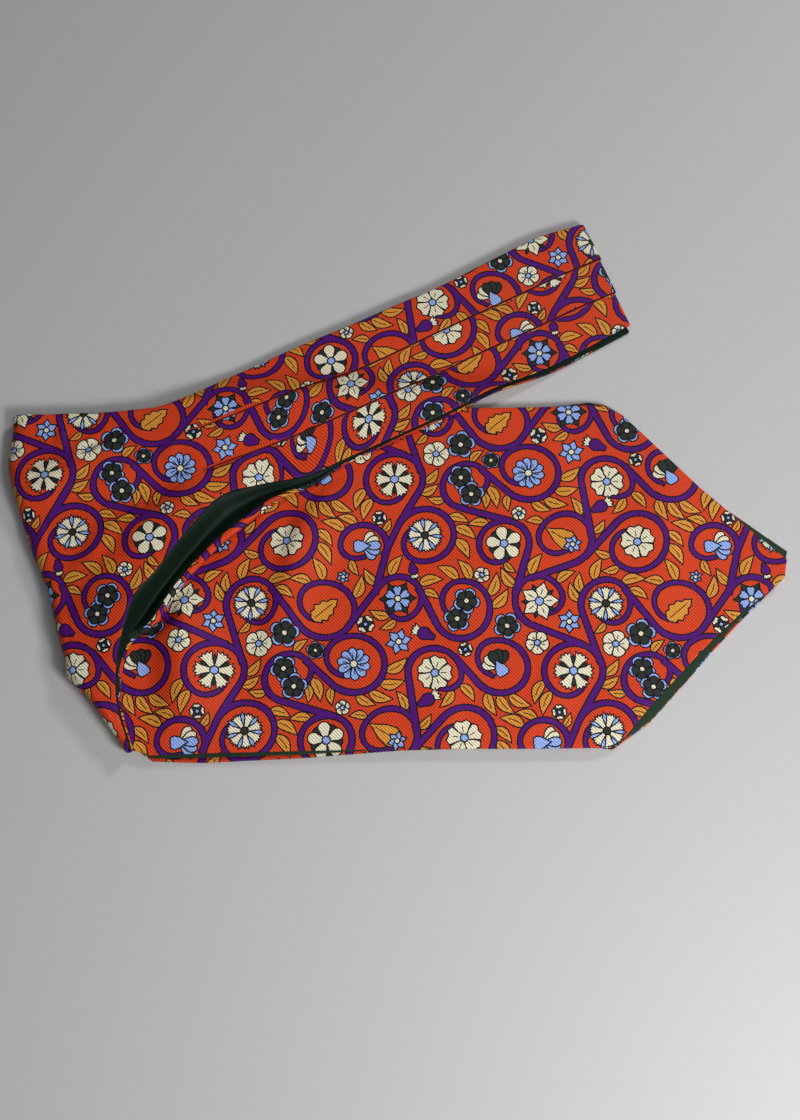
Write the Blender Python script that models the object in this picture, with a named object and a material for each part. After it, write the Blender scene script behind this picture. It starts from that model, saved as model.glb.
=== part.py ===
"""Silk day cravat, folded in half and laid down: one solid for each stretch of cloth that shows.

Lengths in the tables are millimetres. The strip is folded at the middle of its neckband (right end),
and both halves are folded again at the left, so the two pointed blades run back to the right.
"""
from collections import namedtuple
from math import cos, pi, sin

import bpy
from mathutils import Vector

MM = 0.001

# Driving dimensions.
CLOTH = 1.0             # wall of one layer of cloth
GAP = 0.3               # air between neighbouring walls
HIDDEN = 1.2            # wall of the hidden layers
PLEAT_STEP = 0.8        # height that each lap of the pleated neckband adds
LEFT_REACH = (6.0, 7.0, 7.0, 6.0, 1.5)     # depth of the left fold under each control column
LEFT_RETURN = (6.0, 7.0, 6.0, 5.0, 1.0)    # flat cloth beyond the left fold, under the stack
RIGHT_REACH = 2.5
RIGHT_RETURN = 5.0
DRAPE_MARGIN = 5.0      # the band stays up this far beyond the blade's edge
DRAPE_WIDTH = 16.0      # and then comes down to the surface over this width
LIP_RISE = 1.8          # the inner band's edge above the blade, at the open mouth
MOUTH_OPEN = 12.0       # mouth width at which the lip has its full rise
RIM = 2.5               # printed rim beyond the lining, at the mouth
NARROW_RIM = 0.9        # and along the neckband
RIM_ROUND = 0.5         # drop of the rim's outer edge
HIDDEN_INSET = 3.0      # the hidden layers end this far inside the blade's edges
HIDDEN_DEPTH = 0.8      # and this far round the left fold, as a share of its curve
GROOVE = 1.5            # depth of the groove in their side
BLADE_CLEAR = 4.0       # the blade's creases begin this far from the band's rim
BLADE_EASE = 10.0       # and reach their height over this width

# Heights of the undersides of the stacked walls over the blade.
LINING_Z = CLOTH + GAP
HIDDEN_Z = LINING_Z + CLOTH + GAP
BLADE_Z = HIDDEN_Z + HIDDEN + GAP
BAND_Z = BLADE_Z + CLOTH + GAP

# Stations along the outer half, from the fold at the neckband's middle to the left fold.
# Each crosses the cloth from its top edge over the two pleat edges to its low edge. The lip is the
# edge of the inner half's lining beside it. Lift is how far the fan billows, and laps is the share
# of the pleats' full height.
BandRow = namedtuple("BandRow", "top pleat_a pleat_b third low lip lift laps")
BAND_ROWS = (
    BandRow((87.5, 125.5), (95, 108.5), (102, 92), (105.5, 83.5), (108.8, 75.5), (109.6, 74), 0, 1),
    BandRow((68, 118), (76, 99.7), (82.5, 83.1), (86.5, 74), (90, 65), (90.8, 63.6), 0, 1),
    BandRow((49, 109), (57, 90.2), (64.5, 74), (68.5, 64.5), (72, 55), (72.8, 53.6), 0, 1),
    BandRow((21, 94.5), (29, 76.3), (36, 60.2), (40, 51), (44, 42), (44.8, 40.6), 0, 1),
    BandRow((2.5, 86), (9, 66.2), (16.5, 49.5), (21, 40.5), (25, 31.3), (25.6, 30), 0, 1),
    BandRow((-20.5, 75), (-14, 54.6), (-6, 37.8), (-2, 29), (2, 20), (2.6, 18.8), 0, 1),
    BandRow((-43, 63.5), (-36, 45.5), (-29.5, 26.5), (-26, 17), (-22, 8.5), (-21.2, 7), 0.3, 0.8),
    BandRow((-61.5, 54), (-56, 36.5), (-50, 17), (-44.5, 8.5), (-39, 0.4), (-35.8, -2.4), 1, 0.5),
    BandRow((-76, 47), (-73, 29), (-68, 9.5), (-64, 2), (-60, -4.2), (-52.5, -9), 1.6, 0.25),
    BandRow((-92, 40), (-90, 22), (-85, 2), (-81, -5), (-77, -10.5), (-67.5, -20), 2, 0.1),
    BandRow((-106, 35), (-107, 18), (-102, -8), (-97, -17), (-91, -27), (-82, -33), 2, 0),
    BandRow((-120, 33), (-123, 14), (-117, -19), (-111, -31), (-103, -44.5), (-96.5, -51), 2, 0),
    BandRow((-133, 31.8), (-137, 10), (-129, -29), (-122, -44), (-112, -56), (-105, -65), 2, 0),
    BandRow((-145, 30.6), (-148, 6), (-137, -36), (-128, -57), (-117, -74), (-114, -75), 1.8, 0),
    BandRow((-155, 30), (-156, 3), (-142.5, -39), (-132, -67), (-118.7, -90), (-117.3, -90), 1.6, 0),
    BandRow((-161, 30), (-161, 0), (-147, -41), (-134.5, -77), (-117.5, -105), (-116, -105), 1.4, 0),
)
LEFT_FOLD = ((-172.5, 30), (-172, -4), (-156.5, -46), (-142.5, -86), (-114, -122.5))
LEFT_LIFT = 1.4
LEFT_LIP_STEP = (1.2, 0.4)

# Stations along the blades, from left to point: the top blade's two edges, then how far the cloth
# under it reaches past each of them (green is the lining, rim the printed edge beyond the lining).
BladeRow = namedtuple("BladeRow", "low high green_low rim_low green_high rim_high")
BLADE_ROWS = (
    BladeRow((-104, -123.4), (-140, 27), 1.0, 1.2, -1.5, 0.5),
    BladeRow((-83, -122.6), (-110, 29.5), 1.6, 2.0, -1.5, 0.5),
    BladeRow((-40, -121.5), (-60, 32.5), 1.2, 1.4, -1.5, 0.5),
    BladeRow((2.5, -120.5), (-5, 34), -0.3, 0.6, -1.5, 0.5),
    BladeRow((45, -120.6), (45, 34.4), -1.5, 0.5, -1.5, 0.5),
    BladeRow((68, -120.5), (68, 34.8), -1.5, 0.5, 0.6, 0.4),
    BladeRow((87.8, -120.2), (88.8, 35.6), -1.0, 0.5, 2.0, 0.5),
    BladeRow((94, -118.6), (96.5, 35.0), 1.0, 0.8, 1.2, 0.5),
    BladeRow((98.8, -115.5), (103.2, 31.3), 4.0, 0.9, -0.8, 0.5),
    BladeRow((110, -102.5), (113, 22), 4.8, 0.9, -1.0, 0.5),
    BladeRow((128, -83.3), (136.9, -2.3), 3.6, 0.9, -1.0, 0.5),
    BladeRow((139.7, -71.5), (146, -11.2), 3.2, 0.9, -0.6, 0.5),
    BladeRow((151.2, -61.1), (153.8, -18.6), 0.8, 0.8, 1.2, 0.5),
    BladeRow((162.9, -50.3), (164.3, -27.9), -0.8, 0.5, 2.2, 0.5),
    BladeRow((170.5, -43.8), (172.2, -34.6), -0.8, 0.5, 1.6, 0.5),
)

# Soft ridges and hollows: the ends of each, its half width, and its height.
Crease = namedtuple("Crease", "start end width height")
FAN_CREASES = (
    Crease((-96, 17), (-140, 22), 8, 1.1),
    Crease((-118, 2), (-152, -12), 7, 0.9),
    Crease((-140, 24), (-133, 2), 5, -1.0),
    Crease((-122, -38), (-136, -70), 6, 0.9),
    Crease((-90, -8), (-112, -34), 6, 0.8),
)
BLADE_CREASES = (
    Crease((-70, -58), (-24, -18), 9, 1.1),
    Crease((-92, -78), (-98, -108), 8, 0.9),
    Crease((10, -60), (70, -20), 14, 0.8),
    Crease((-40, -92), (10, -84), 12, 0.7),
)

ROW_STEPS = 2           # stations between two rows of the tables
FOLD_STEPS = 6          # stations round half a fold
BLADE_COLUMNS = 12      # cells across a blade


def smooth(value):
    """Ease from 0 to 1."""
    value = min(max(value, 0.0), 1.0)
    return value * value * (3.0 - 2.0 * value)


def lerp(a, b, share):
    return a + (b - a) * share


def curve_through(points, place):
    """Point of the smooth curve through the points; place counts from 0 to len(points) - 1."""
    last = len(points) - 1
    index = min(int(place), last - 1)
    t = place - index
    before = points[index - 1] if index > 0 else 2 * points[0] - points[1]
    after = points[index + 2] if index + 2 <= last else 2 * points[last] - points[last - 1]
    start, end = points[index], points[index + 1]
    return 0.5 * (
        2 * start
        + (end - before) * t
        + (2 * before - 5 * start + 4 * end - after) * t * t
        + (3 * start - before - 3 * end + after) * t * t * t
    )


def crease_height(creases, x, y):
    """Sum of the soft ridges and hollows at a place."""
    height = 0.0
    here = Vector((x, y))
    for crease in creases:
        start, end = Vector(crease.start), Vector(crease.end)
        along = end - start
        share = min(max((here - start).dot(along) / along.length_squared, 0.0), 1.0)
        distance = (here - start - along * share).length
        height += crease.height * smooth(1.0 - distance / (2.0 * crease.width))
    return height


def blade_top_edge(x):
    """Y of the top blade's upper edge at x."""
    highs = [row.high for row in BLADE_ROWS]
    if x <= highs[0][0]:
        return highs[0][1]
    for left, right in zip(highs, highs[1:]):
        if x <= right[0]:
            return lerp(left[1], right[1], (x - left[0]) / (right[0] - left[0]))
    return highs[-1][1]


def band_support(x, y):
    """Height on which the band lies: the blade's top, easing down to the surface beyond its edge."""
    beyond = y - blade_top_edge(x) - DRAPE_MARGIN
    return BAND_Z * (1.0 - smooth(beyond / DRAPE_WIDTH))


class Station:
    """One crossing of the band: five control points, the lip beside it, and its lift and laps."""

    def __init__(self, controls, lip, lift, laps):
        self.controls = controls
        self.lip = lip
        self.lift = lift
        self.laps = laps

    def at(self, place):
        """Plan point at a column's place, 0 at the top edge to 4 at the low edge."""
        return curve_through(self.controls, place)

    def moved(self, shifts):
        """The same station with each control point moved."""
        controls = [point + shift for point, shift in zip(self.controls, shifts)]
        return Station(controls, self.lip + shifts[-1], self.lift, self.laps)


def inward(edge, towards):
    """Unit vectors square to an edge line at each of its points, on the side that towards is on."""
    result = []
    for index, point in enumerate(edge):
        ahead = edge[min(index + 1, len(edge) - 1)]
        behind = edge[max(index - 1, 0)]
        tangent = (ahead - behind).normalized()
        normal = Vector((-tangent.y, tangent.x))
        if normal.dot(towards[index] - point) < 0:
            normal.negate()
        result.append(normal)
    return result


def band_stations():
    """Stations of the band's level stretch, from its right fold to where the left fold begins."""
    rows = [
        Station([Vector(row[index]) for index in range(5)], Vector(row.lip), row.lift, row.laps)
        for row in BAND_ROWS
    ]
    fold_edge = [Vector(point) for point in LEFT_FOLD]
    in_left = inward(fold_edge, rows[-1].controls)
    fold_start = [
        point + normal * (CLOTH + reach)
        for point, normal, reach in zip(fold_edge, in_left, LEFT_REACH)
    ]
    rows.append(Station(fold_start, fold_start[-1] + Vector(LEFT_LIP_STEP), LEFT_LIFT, 0.0))

    in_right = inward(rows[0].controls, rows[1].controls)
    fold_width = CLOTH + RIGHT_REACH
    right_edge = rows[0]
    rows[0] = right_edge.moved([normal * fold_width for normal in in_right])

    stations = []
    last = len(rows) - 1
    for step in range(last * ROW_STEPS + 1):
        place = step / ROW_STEPS
        controls = [curve_through([row.controls[k] for row in rows], place) for k in range(5)]
        lip = curve_through([row.lip for row in rows], place)
        index = min(int(place), last - 1)
        share = place - index
        lift = lerp(rows[index].lift, rows[index + 1].lift, share)
        laps = lerp(rows[index].laps, rows[index + 1].laps, share)
        stations.append(Station(controls, lip, lift, laps))
    return stations, right_edge, in_right, fold_edge, in_left


def fold_profile(share):
    """Inset share and height share (1 top, 0 bottom) round half a fold."""
    angle = pi * share
    return 1.0 - sin(angle), 0.5 + 0.5 * cos(angle)


# Columns across the band: the place between control points, and which pleat strip it is on.
COLUMNS = (
    [(place, 0) for place in (0.0, 0.12, 0.4, 0.7, 1.0)]
    + [(1.0 + place, 1) for place in (0.02, 0.33, 0.67, 1.0)]
    + [(2.0 + place, 2) for place in (0.02, 0.5, 1.0, 1.5, 2.0)]
)
UNDER_COLUMNS = COLUMNS[1:]    # the inner walls stop short of the top edge


def billow(place):
    """Share of a station's lift that a column has: none at the top edge, all from the second pleat."""
    return smooth(place / 2.0)


def band_height(station, place):
    """Underside of the lowest of the band's walls at a column."""
    point = station.at(place)
    lifted = station.lift * billow(place)
    if lifted > 0.0:
        lifted = max(lifted + billow(place) * crease_height(FAN_CREASES, point.x, point.y), 0.0)
    return band_support(point.x, point.y) + lifted


def lap_height(station, strip):
    """Extra thickness of a pleat strip: the upper strips lie over the lower ones."""
    return PLEAT_STEP * station.laps * (2 - strip)


def with_height(point, height):
    return Vector((point.x, point.y, height))


def level_rows(stations, columns, base, thickness, laps=False):
    """Lower and upper grids of a wall that lies level along the stations."""
    lower, upper = [], []
    for station in stations:
        low_row, high_row = [], []
        for place, strip in columns:
            point = station.at(place)
            height = band_height(station, place) + base
            extra = lap_height(station, strip) if laps else 0.0
            low_row.append(with_height(point, height))
            high_row.append(with_height(point, height + thickness + extra))
        lower.append(low_row)
        upper.append(high_row)
    return lower, upper


def fold_rows(station, edge, normals, reach, flat, base):
    """Rows of both grids from where a fold begins, round it, to the end of its flat return."""
    edge_line = Station(edge, edge[-1], 0.0, 0.0)
    normal_line = Station(normals, normals[-1], 0.0, 0.0)
    reach_line = [Vector((value, 0.0)) for value in reach]
    flat_line = [Vector((value, 0.0)) for value in flat]
    lower, upper = [], []
    for step in range(1, FOLD_STEPS + 2):
        low_row, high_row = [], []
        for place, strip in COLUMNS:
            rim = edge_line.at(place)
            square = normal_line.at(place).normalized()
            depth = curve_through(reach_line, place).x
            level = band_height(station, place) + base
            top = level + CLOTH + lap_height(station, strip)
            if step <= FOLD_STEPS:
                inset, height = fold_profile(step / FOLD_STEPS)
                tail = 0.0
            else:
                inset, height = 1.0, 0.0
                tail = curve_through(flat_line, place).x
            inner = rim + square * (CLOTH + depth * inset + tail)
            outer = rim + square * ((CLOTH + depth) * inset + tail)
            low_row.append(with_height(inner, lerp(CLOTH, level, height)))
            high_row.append(with_height(outer, top * height))
        lower.append(low_row)
        upper.append(high_row)
    return lower, upper


def outer_band_grids():
    """The outer half's band: round the right fold, along the neckband and fan, round the left fold."""
    stations, right_edge, in_right, fold_edge, in_left = band_stations()
    base = 2 * (CLOTH + GAP)
    right = fold_rows(
        stations[0], right_edge.controls, in_right, [RIGHT_REACH] * 5, [RIGHT_RETURN] * 5, base
    )
    middle = level_rows(stations, COLUMNS, base, CLOTH, laps=True)
    left = fold_rows(stations[-1], fold_edge, in_left, LEFT_REACH, LEFT_RETURN, base)
    lower = right[0][::-1] + middle[0] + left[0]
    upper = right[1][::-1] + middle[1] + left[1]
    return lower, upper


def mouth_points(station, base, thickness):
    """Plan points and heights past the outer edge: down into the mouth, then up to the lip."""
    edge = station.at(4.0)
    lip = station.lip
    open_share = smooth((lip - edge).length / MOUTH_OPEN)
    support = band_support(lip.x, lip.y)
    hollow = edge.lerp(lip, 0.5)
    edge_height = band_height(station, 4.0)
    hollow_height = lerp(lerp(edge_height, support, 0.5), band_support(hollow.x, hollow.y), open_share)
    lip_height = support + LIP_RISE * open_share
    return [
        (hollow, hollow_height + base, thickness),
        (lip, lip_height + base, thickness),
    ]


def extend_to_lip(stations, lower, upper, base, thickness):
    """Add the mouth's columns to both grids."""
    for station, low_row, high_row in zip(stations, lower, upper):
        for point, height, wall in mouth_points(station, base, thickness):
            low_row.append(with_height(point, height))
            high_row.append(with_height(point, height + wall))


def add_rim(stations, lower, upper):
    """Add the printed rim: the band's own edge, rolled up beside the lining's edge."""
    rolled = 2 * CLOTH + GAP
    for station, low_row, high_row in zip(stations, lower, upper):
        outward = (station.lip - station.at(4.0)).normalized()
        open_share = smooth((station.lip - station.at(4.0)).length / MOUTH_OPEN)
        width = lerp(NARROW_RIM, RIM, open_share)
        support = band_support(station.lip.x, station.lip.y)
        for reach, top_drop in ((GAP, 0.0), (width, RIM_ROUND)):
            point = station.lip + outward * reach
            height = lerp(low_row[-1].z, support, smooth(reach / width))
            low_row.append(with_height(point, height))
            high_row.append(with_height(point, height + rolled - top_drop))


def inner_lining_grids():
    """Lining side of the inner half's band, which shows in the mouth."""
    stations = band_stations()[0]
    base = CLOTH + GAP
    lower, upper = level_rows(stations, UNDER_COLUMNS, base, CLOTH)
    extend_to_lip(stations, lower, upper, base, CLOTH)
    return lower, upper


def inner_band_grids():
    """Printed side of the inner half's band, face down, with its rim past the lining."""
    stations = band_stations()[0]
    first = ROW_STEPS
    stations = stations[first:]
    lower, upper = level_rows(stations, UNDER_COLUMNS, 0.0, CLOTH)
    extend_to_lip(stations, lower, upper, 0.0, CLOTH)
    add_rim(stations, lower, upper)
    return lower, upper


def fold_line(depth):
    """Points along the left fold, from its low end to its top end.

    Depth is 0 at the fold's edge, 1 where its curve ends inside, and 2 just past its flat return.
    """
    edge = [Vector(point) for point in LEFT_FOLD]
    towards = [Vector(point) for point in BAND_ROWS[-1][:5]]
    normals = inward(edge, towards)
    line = []
    for point, normal, reach, flat in zip(edge, normals, LEFT_REACH, LEFT_RETURN):
        inset = CLOTH + reach * min(depth, 1.0) + (flat + GAP) * max(depth - 1.0, 0.0)
        line.append(point + normal * inset)
    last = len(line) - 1
    return [curve_through(line, last * (1.0 - index / BLADE_COLUMNS)) for index in range(BLADE_COLUMNS + 1)]


def blade_grid(left_line, low_reach, high_reach):
    """Plan grid of a blade, its edges moved past the top blade's by the reaches of each row."""
    grid = [left_line]
    for row in BLADE_ROWS:
        low, high = Vector(row.low), Vector(row.high)
        across = (high - low).normalized()
        start = low - across * low_reach(row)
        end = high + across * high_reach(row)
        grid.append([start.lerp(end, index / BLADE_COLUMNS) for index in range(BLADE_COLUMNS + 1)])
    return grid


def densify(grid, steps):
    """More rows between those of a plan grid, on straight lines."""
    result = []
    for before, after in zip(grid, grid[1:]):
        for step in range(steps):
            result.append([a.lerp(b, step / steps) for a, b in zip(before, after)])
    result.append(grid[-1])
    return result


def flat_wall(grid, base, thickness, height=None):
    """Lower and upper grids over a plan grid, raised where a height function says so."""
    lower, upper = [], []
    for row in grid:
        rise = [height(point) if height else 0.0 for point in row]
        lower.append([with_height(p, base + extra) for p, extra in zip(row, rise)])
        upper.append([with_height(p, base + thickness + extra) for p, extra in zip(row, rise)])
    return lower, upper


def mouth_side(point):
    """Signed distance, roughly, of a place from the lip: positive on the open blade."""
    nearest = None
    for row in BAND_ROWS:
        lip, edge = Vector(row.lip), Vector(row.low)
        offset = point - lip
        if nearest is None or offset.length < nearest[0]:
            nearest = (offset.length, offset.dot((lip - edge).normalized()))
    return nearest[1]


def blade_rise(point):
    """Soft creases of the open blade, which die out where the band lies on it and at its edges."""
    clear = smooth((mouth_side(point) - RIM - BLADE_CLEAR) / BLADE_EASE)
    return max(crease_height(BLADE_CREASES, point.x, point.y), 0.0) * clear


def top_blade_grids():
    grid = blade_grid(fold_line(1.0), lambda row: 0.0, lambda row: 0.0)
    return flat_wall(densify(grid, 2), BLADE_Z, CLOTH, blade_rise)


def bottom_lining_grids():
    grid = blade_grid(fold_line(2.0), lambda row: row.green_low, lambda row: row.green_high)
    return flat_wall(grid, LINING_Z, CLOTH)


def bottom_blade_grids():
    grid = blade_grid(
        fold_line(2.0),
        lambda row: row.green_low + row.rim_low,
        lambda row: row.green_high + row.rim_high,
    )
    return flat_wall(grid, 0.0, CLOTH)


def folded_layers_grids():
    """Hidden layers between the blades: one slab, rounded at the left fold."""
    grid = blade_grid(fold_line(HIDDEN_DEPTH), lambda row: -HIDDEN_INSET, lambda row: -HIDDEN_INSET)
    return flat_wall(grid, HIDDEN_Z, HIDDEN)


GROOVE_PROFILE = ((0.38, 0.0), (0.38, 1.0), (0.62, 1.0), (0.62, 0.0))    # share of height, of depth


def add_face(faces, corners):
    """Keep a face unless its corners coincide."""
    if len(set(corners)) == len(corners):
        faces.append(corners)


def wall_object(name, grids, colour, roughness, groove=0.0):
    """Closed solid between a lower and an upper grid; groove cuts its side so it looks layered."""
    lower, upper = grids
    rows, columns = len(lower), len(lower[0])
    points = [point * MM for grid in (lower, upper) for row in grid for point in row]
    offset = rows * columns
    faces = []
    for i in range(rows - 1):
        for j in range(columns - 1):
            a, b = i * columns + j, i * columns + j + 1
            c, d = b + columns, a + columns
            for corners in ((a, b, c), (a, c, d)):
                add_face(faces, corners)
                add_face(faces, tuple(index + offset for index in reversed(corners)))

    border = list(range(columns))
    border += [i * columns + columns - 1 for i in range(1, rows)]
    border += [(rows - 1) * columns + j for j in range(columns - 2, -1, -1)]
    border += [i * columns for i in range(rows - 2, 0, -1)]
    rings = [border]
    if groove:
        centre = sum(points[:offset], Vector()) / offset
        for share, depth in GROOVE_PROFILE:
            ring = []
            for index in border:
                point = points[index].lerp(points[index + offset], share)
                pull = centre - point
                pull.z = 0.0
                points.append(point + pull.normalized() * depth * groove * MM)
                ring.append(len(points) - 1)
            rings.append(ring)
    rings.append([index + offset for index in border])
    for ring, above in zip(rings, rings[1:]):
        for k in range(len(border)):
            following = (k + 1) % len(border)
            add_face(faces, (ring[k], above[k], above[following], ring[following]))

    mesh = bpy.data.meshes.new(name)
    mesh.from_pydata(points, [], faces)
    mesh.update()
    material = bpy.data.materials.new(name)
    material.use_nodes = True
    shader = material.node_tree.nodes["Principled BSDF"]
    shader.inputs["Base Color"].default_value = colour
    shader.inputs["Roughness"].default_value = roughness
    shader.inputs["Metallic"].default_value = 0.0
    mesh.materials.append(material)
    thing = bpy.data.objects.new(name, mesh)
    bpy.context.scene.collection.objects.link(thing)
    return thing


def centre_on_floor(things):
    """Put the middle of the plan at the origin."""
    corners = [vertex.co for thing in things for vertex in thing.data.vertices]
    middle = Vector((
        (min(c.x for c in corners) + max(c.x for c in corners)) / 2,
        (min(c.y for c in corners) + max(c.y for c in corners)) / 2,
        0.0,
    ))
    for thing in things:
        for vertex in thing.data.vertices:
            vertex.co -= middle


PRINT = (0.58, 0.07, 0.015, 1.0)
LINING = (0.012, 0.035, 0.02, 1.0)


def main():
    for thing in list(bpy.data.objects):
        bpy.data.objects.remove(thing)
    things = [
        wall_object("outer_band", outer_band_grids(), PRINT, 0.5),
        wall_object("inner_lining", inner_lining_grids(), LINING, 0.4),
        wall_object("inner_band", inner_band_grids(), PRINT, 0.5),
        wall_object("top_blade", top_blade_grids(), PRINT, 0.5),
        wall_object("folded_layers", folded_layers_grids(), LINING, 0.4, groove=GROOVE),
        wall_object("bottom_lining", bottom_lining_grids(), LINING, 0.4),
        wall_object("bottom_blade", bottom_blade_grids(), PRINT, 0.5),
    ]
    centre_on_floor(things)


main()
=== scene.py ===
"""Silk day cravat, folded in half and laid on a table: printed twill with a dark green satin lining.

Lengths in the tables are millimetres in the plan of the CAD part.
"""
from collections import namedtuple
from math import acos, atan2, cos, exp, pi, radians, sin

import bpy
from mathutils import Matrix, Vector, geometry


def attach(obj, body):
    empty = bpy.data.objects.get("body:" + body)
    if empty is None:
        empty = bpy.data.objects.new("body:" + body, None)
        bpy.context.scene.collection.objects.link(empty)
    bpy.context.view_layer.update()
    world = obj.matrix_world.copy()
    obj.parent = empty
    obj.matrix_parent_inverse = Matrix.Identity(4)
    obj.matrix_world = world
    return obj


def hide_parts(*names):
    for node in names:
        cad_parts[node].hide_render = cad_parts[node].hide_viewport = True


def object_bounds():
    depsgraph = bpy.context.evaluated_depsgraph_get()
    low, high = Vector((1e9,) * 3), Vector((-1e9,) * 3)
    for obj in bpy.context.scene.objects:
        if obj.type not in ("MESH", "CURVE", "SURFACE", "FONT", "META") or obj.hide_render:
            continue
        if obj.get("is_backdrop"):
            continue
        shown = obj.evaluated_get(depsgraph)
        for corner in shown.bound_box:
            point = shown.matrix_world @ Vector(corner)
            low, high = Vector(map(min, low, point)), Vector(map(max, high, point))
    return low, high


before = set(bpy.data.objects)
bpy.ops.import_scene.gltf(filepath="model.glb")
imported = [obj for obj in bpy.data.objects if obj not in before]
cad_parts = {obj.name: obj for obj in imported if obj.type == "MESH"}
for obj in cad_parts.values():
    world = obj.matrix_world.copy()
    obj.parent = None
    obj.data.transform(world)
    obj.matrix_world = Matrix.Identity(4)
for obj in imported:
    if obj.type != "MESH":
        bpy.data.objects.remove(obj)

cad_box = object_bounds()
bpy.ops.object.select_all(action="DESELECT")
bpy.context.view_layer.objects.active = None

MM = 0.001
PLAN_SHIFT = Vector((0.335, 0.322, 0.0))    # from the tables' plan to the part's, centred on the origin

# ---- sizes shared with the CAD part
CLOTH = 1.0             # one wall of cloth, and the gap to the next
GAP = 0.3
HIDDEN = 1.2            # the slab of hidden layers
PLEAT_STEP = 0.8        # from one strip of the neckband down to the next
LEFT_REACH = (6.0, 7.0, 7.0, 6.0, 1.5)      # depths of the end folds' curves, and their flat returns
LEFT_RETURN = (6.0, 7.0, 6.0, 5.0, 1.0)
RIGHT_REACH = 2.5
RIGHT_RETURN = 5.0
DRAPE_MARGIN = 5.0      # the band eases down to the table past the blade's edge
DRAPE_WIDTH = 16.0
LIP_RISE = 1.8          # how far the lip stands up where the mouth is open
MOUTH_OPEN = 12.0       # width at which the mouth is fully open
RIM = 3.0               # width of the printed rim at the open mouth, and where it is closed
NARROW_RIM = 0.4
HIDDEN_INSET = 3.0      # the hidden layers stay inside the blade's edges, and of the left fold's depth
HIDDEN_DEPTH = 0.8
BLADE_CLEAR = 4.0       # the blade's creases start this far from the rim, and ease in over this
BLADE_EASE = 10.0
LINING_Z = CLOTH + GAP
HIDDEN_Z = LINING_Z + CLOTH + GAP
BLADE_Z = HIDDEN_Z + HIDDEN + GAP
BAND_Z = BLADE_Z + CLOTH + GAP

# Crossings of the band and of the blades: the CAD part's, moved up to a few millimetres at the
# outer edges, where the dressed cloth's outline differs from it.
BandRow = namedtuple("BandRow", "top pleat_a pleat_b third low lip lift laps")
BAND_ROWS = [BandRow(*row) for row in (
    ((89, 127), (96.8, 109.2), (103.8, 92.7), (107.3, 84.2), (110.6, 76.2), (111.4, 74.7), 0, 1),
    ((67.4, 119.6), (76, 99.7), (82.5, 83.1), (86.5, 74), (90, 65), (90.8, 63.6), 0, 1),
    ((48.6, 109.8), (57, 90.2), (64.5, 74), (68.5, 64.5), (72, 55), (72.8, 53.6), 0, 1),
    ((21, 94.5), (29, 76.3), (36, 60.2), (40, 51), (44, 42), (44.8, 40.6), 0, 1),
    ((2.5, 86), (9, 66.2), (16.5, 49.5), (21, 40.5), (25, 31.3), (25.6, 30), 0, 1),
    ((-20.5, 75), (-14, 54.6), (-6, 37.8), (-2, 29), (2, 20), (2.6, 18.8), 0, 1),
    ((-43.6, 64.8), (-36, 45.5), (-29.5, 26.5), (-26, 17), (-22, 8.5), (-21.2, 7), 0.3, 0.8),
    ((-62.3, 55.7), (-56, 36.5), (-50, 17), (-44.5, 8.5), (-39, 0.4), (-35.8, -2.4), 1, 0.5),
    ((-76.8, 48.7), (-73, 29), (-68, 9.5), (-64, 2), (-60, -4.2), (-52.5, -9), 1.6, 0.25),
    ((-92, 40), (-90, 22), (-85, 2), (-81, -5), (-77, -10.5), (-67.5, -20), 2, 0.1),
    ((-106, 34), (-107, 18), (-102, -8), (-97, -17), (-91, -27), (-82, -33), 2, 0),
    ((-120, 32), (-123, 14), (-117, -19), (-111, -31), (-103, -44.5), (-96.5, -51), 2, 0),
    ((-133, 30.8), (-137, 10), (-129, -29), (-122, -44), (-112, -56), (-105, -65), 2, 0),
    ((-145, 30.6), (-148, 6), (-137, -36), (-128, -57), (-117, -74), (-114, -75), 1.8, 0),
    ((-155, 30), (-156, 3), (-142.5, -39), (-132, -67), (-118.7, -90), (-117.3, -90), 1.6, 0),
    ((-161, 30), (-161, 0), (-147, -41), (-134.5, -77), (-117.5, -105), (-116, -105), 1.4, 0),
)]
LEFT_FOLD = ((-172.5, 30), (-172, -4), (-156.5, -46), (-142.5, -86), (-114, -122.5))
LEFT_LIFT = 1.4
LEFT_LIP_STEP = (1.2, 0.4)

BladeRow = namedtuple("BladeRow", "low high green_low rim_low green_high rim_high")
BLADE_ROWS = [BladeRow(*row) for row in (
    ((-104, -123.4), (-140, 27), 1.0, 1.2, -1.5, 0.5),
    ((-83, -122.6), (-110, 29.5), 1.6, 2.0, -1.5, 0.5),
    ((-40, -121.5), (-60, 32.5), 1.2, 1.4, -1.5, 0.5),
    ((2.5, -120.5), (-5, 34), -0.3, 0.6, -1.5, 0.5),
    ((45, -120.6), (45, 34.4), -1.5, 0.5, -1.5, 0.5),
    ((68, -120.5), (68, 34.8), -1.5, 0.5, 0.6, 0.4),
    ((87.8, -120.2), (88.8, 35.6), -1.0, 0.5, 2.0, 0.5),
    ((94, -118.6), (96.5, 35.0), 1.0, 0.8, 1.2, 0.5),
    ((98.8, -115.5), (103.2, 31.0), 0.8, 0.6, -0.8, 0.5),
    ((110, -102.5), (113, 21.0), 6.2, 0.4, -1.0, 0.5),
    ((128, -83.8), (136.6, -3.6), 6.4, 0.4, -1.0, 0.5),
    ((139.7, -72.0), (146, -12.2), 4.4, 1.1, 0.4, 0.5),
    ((151.2, -61.6), (153.8, -19.8), 2.2, 1.3, 2.4, 0.5),
    ((163.4, -52.2), (164.6, -29.2), 0.2, 0.8, 3.7, 0.4),
    ((171.6, -45.4), (173.4, -37.0), -0.8, 0.5, 4.6, 0.3),
)]

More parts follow.
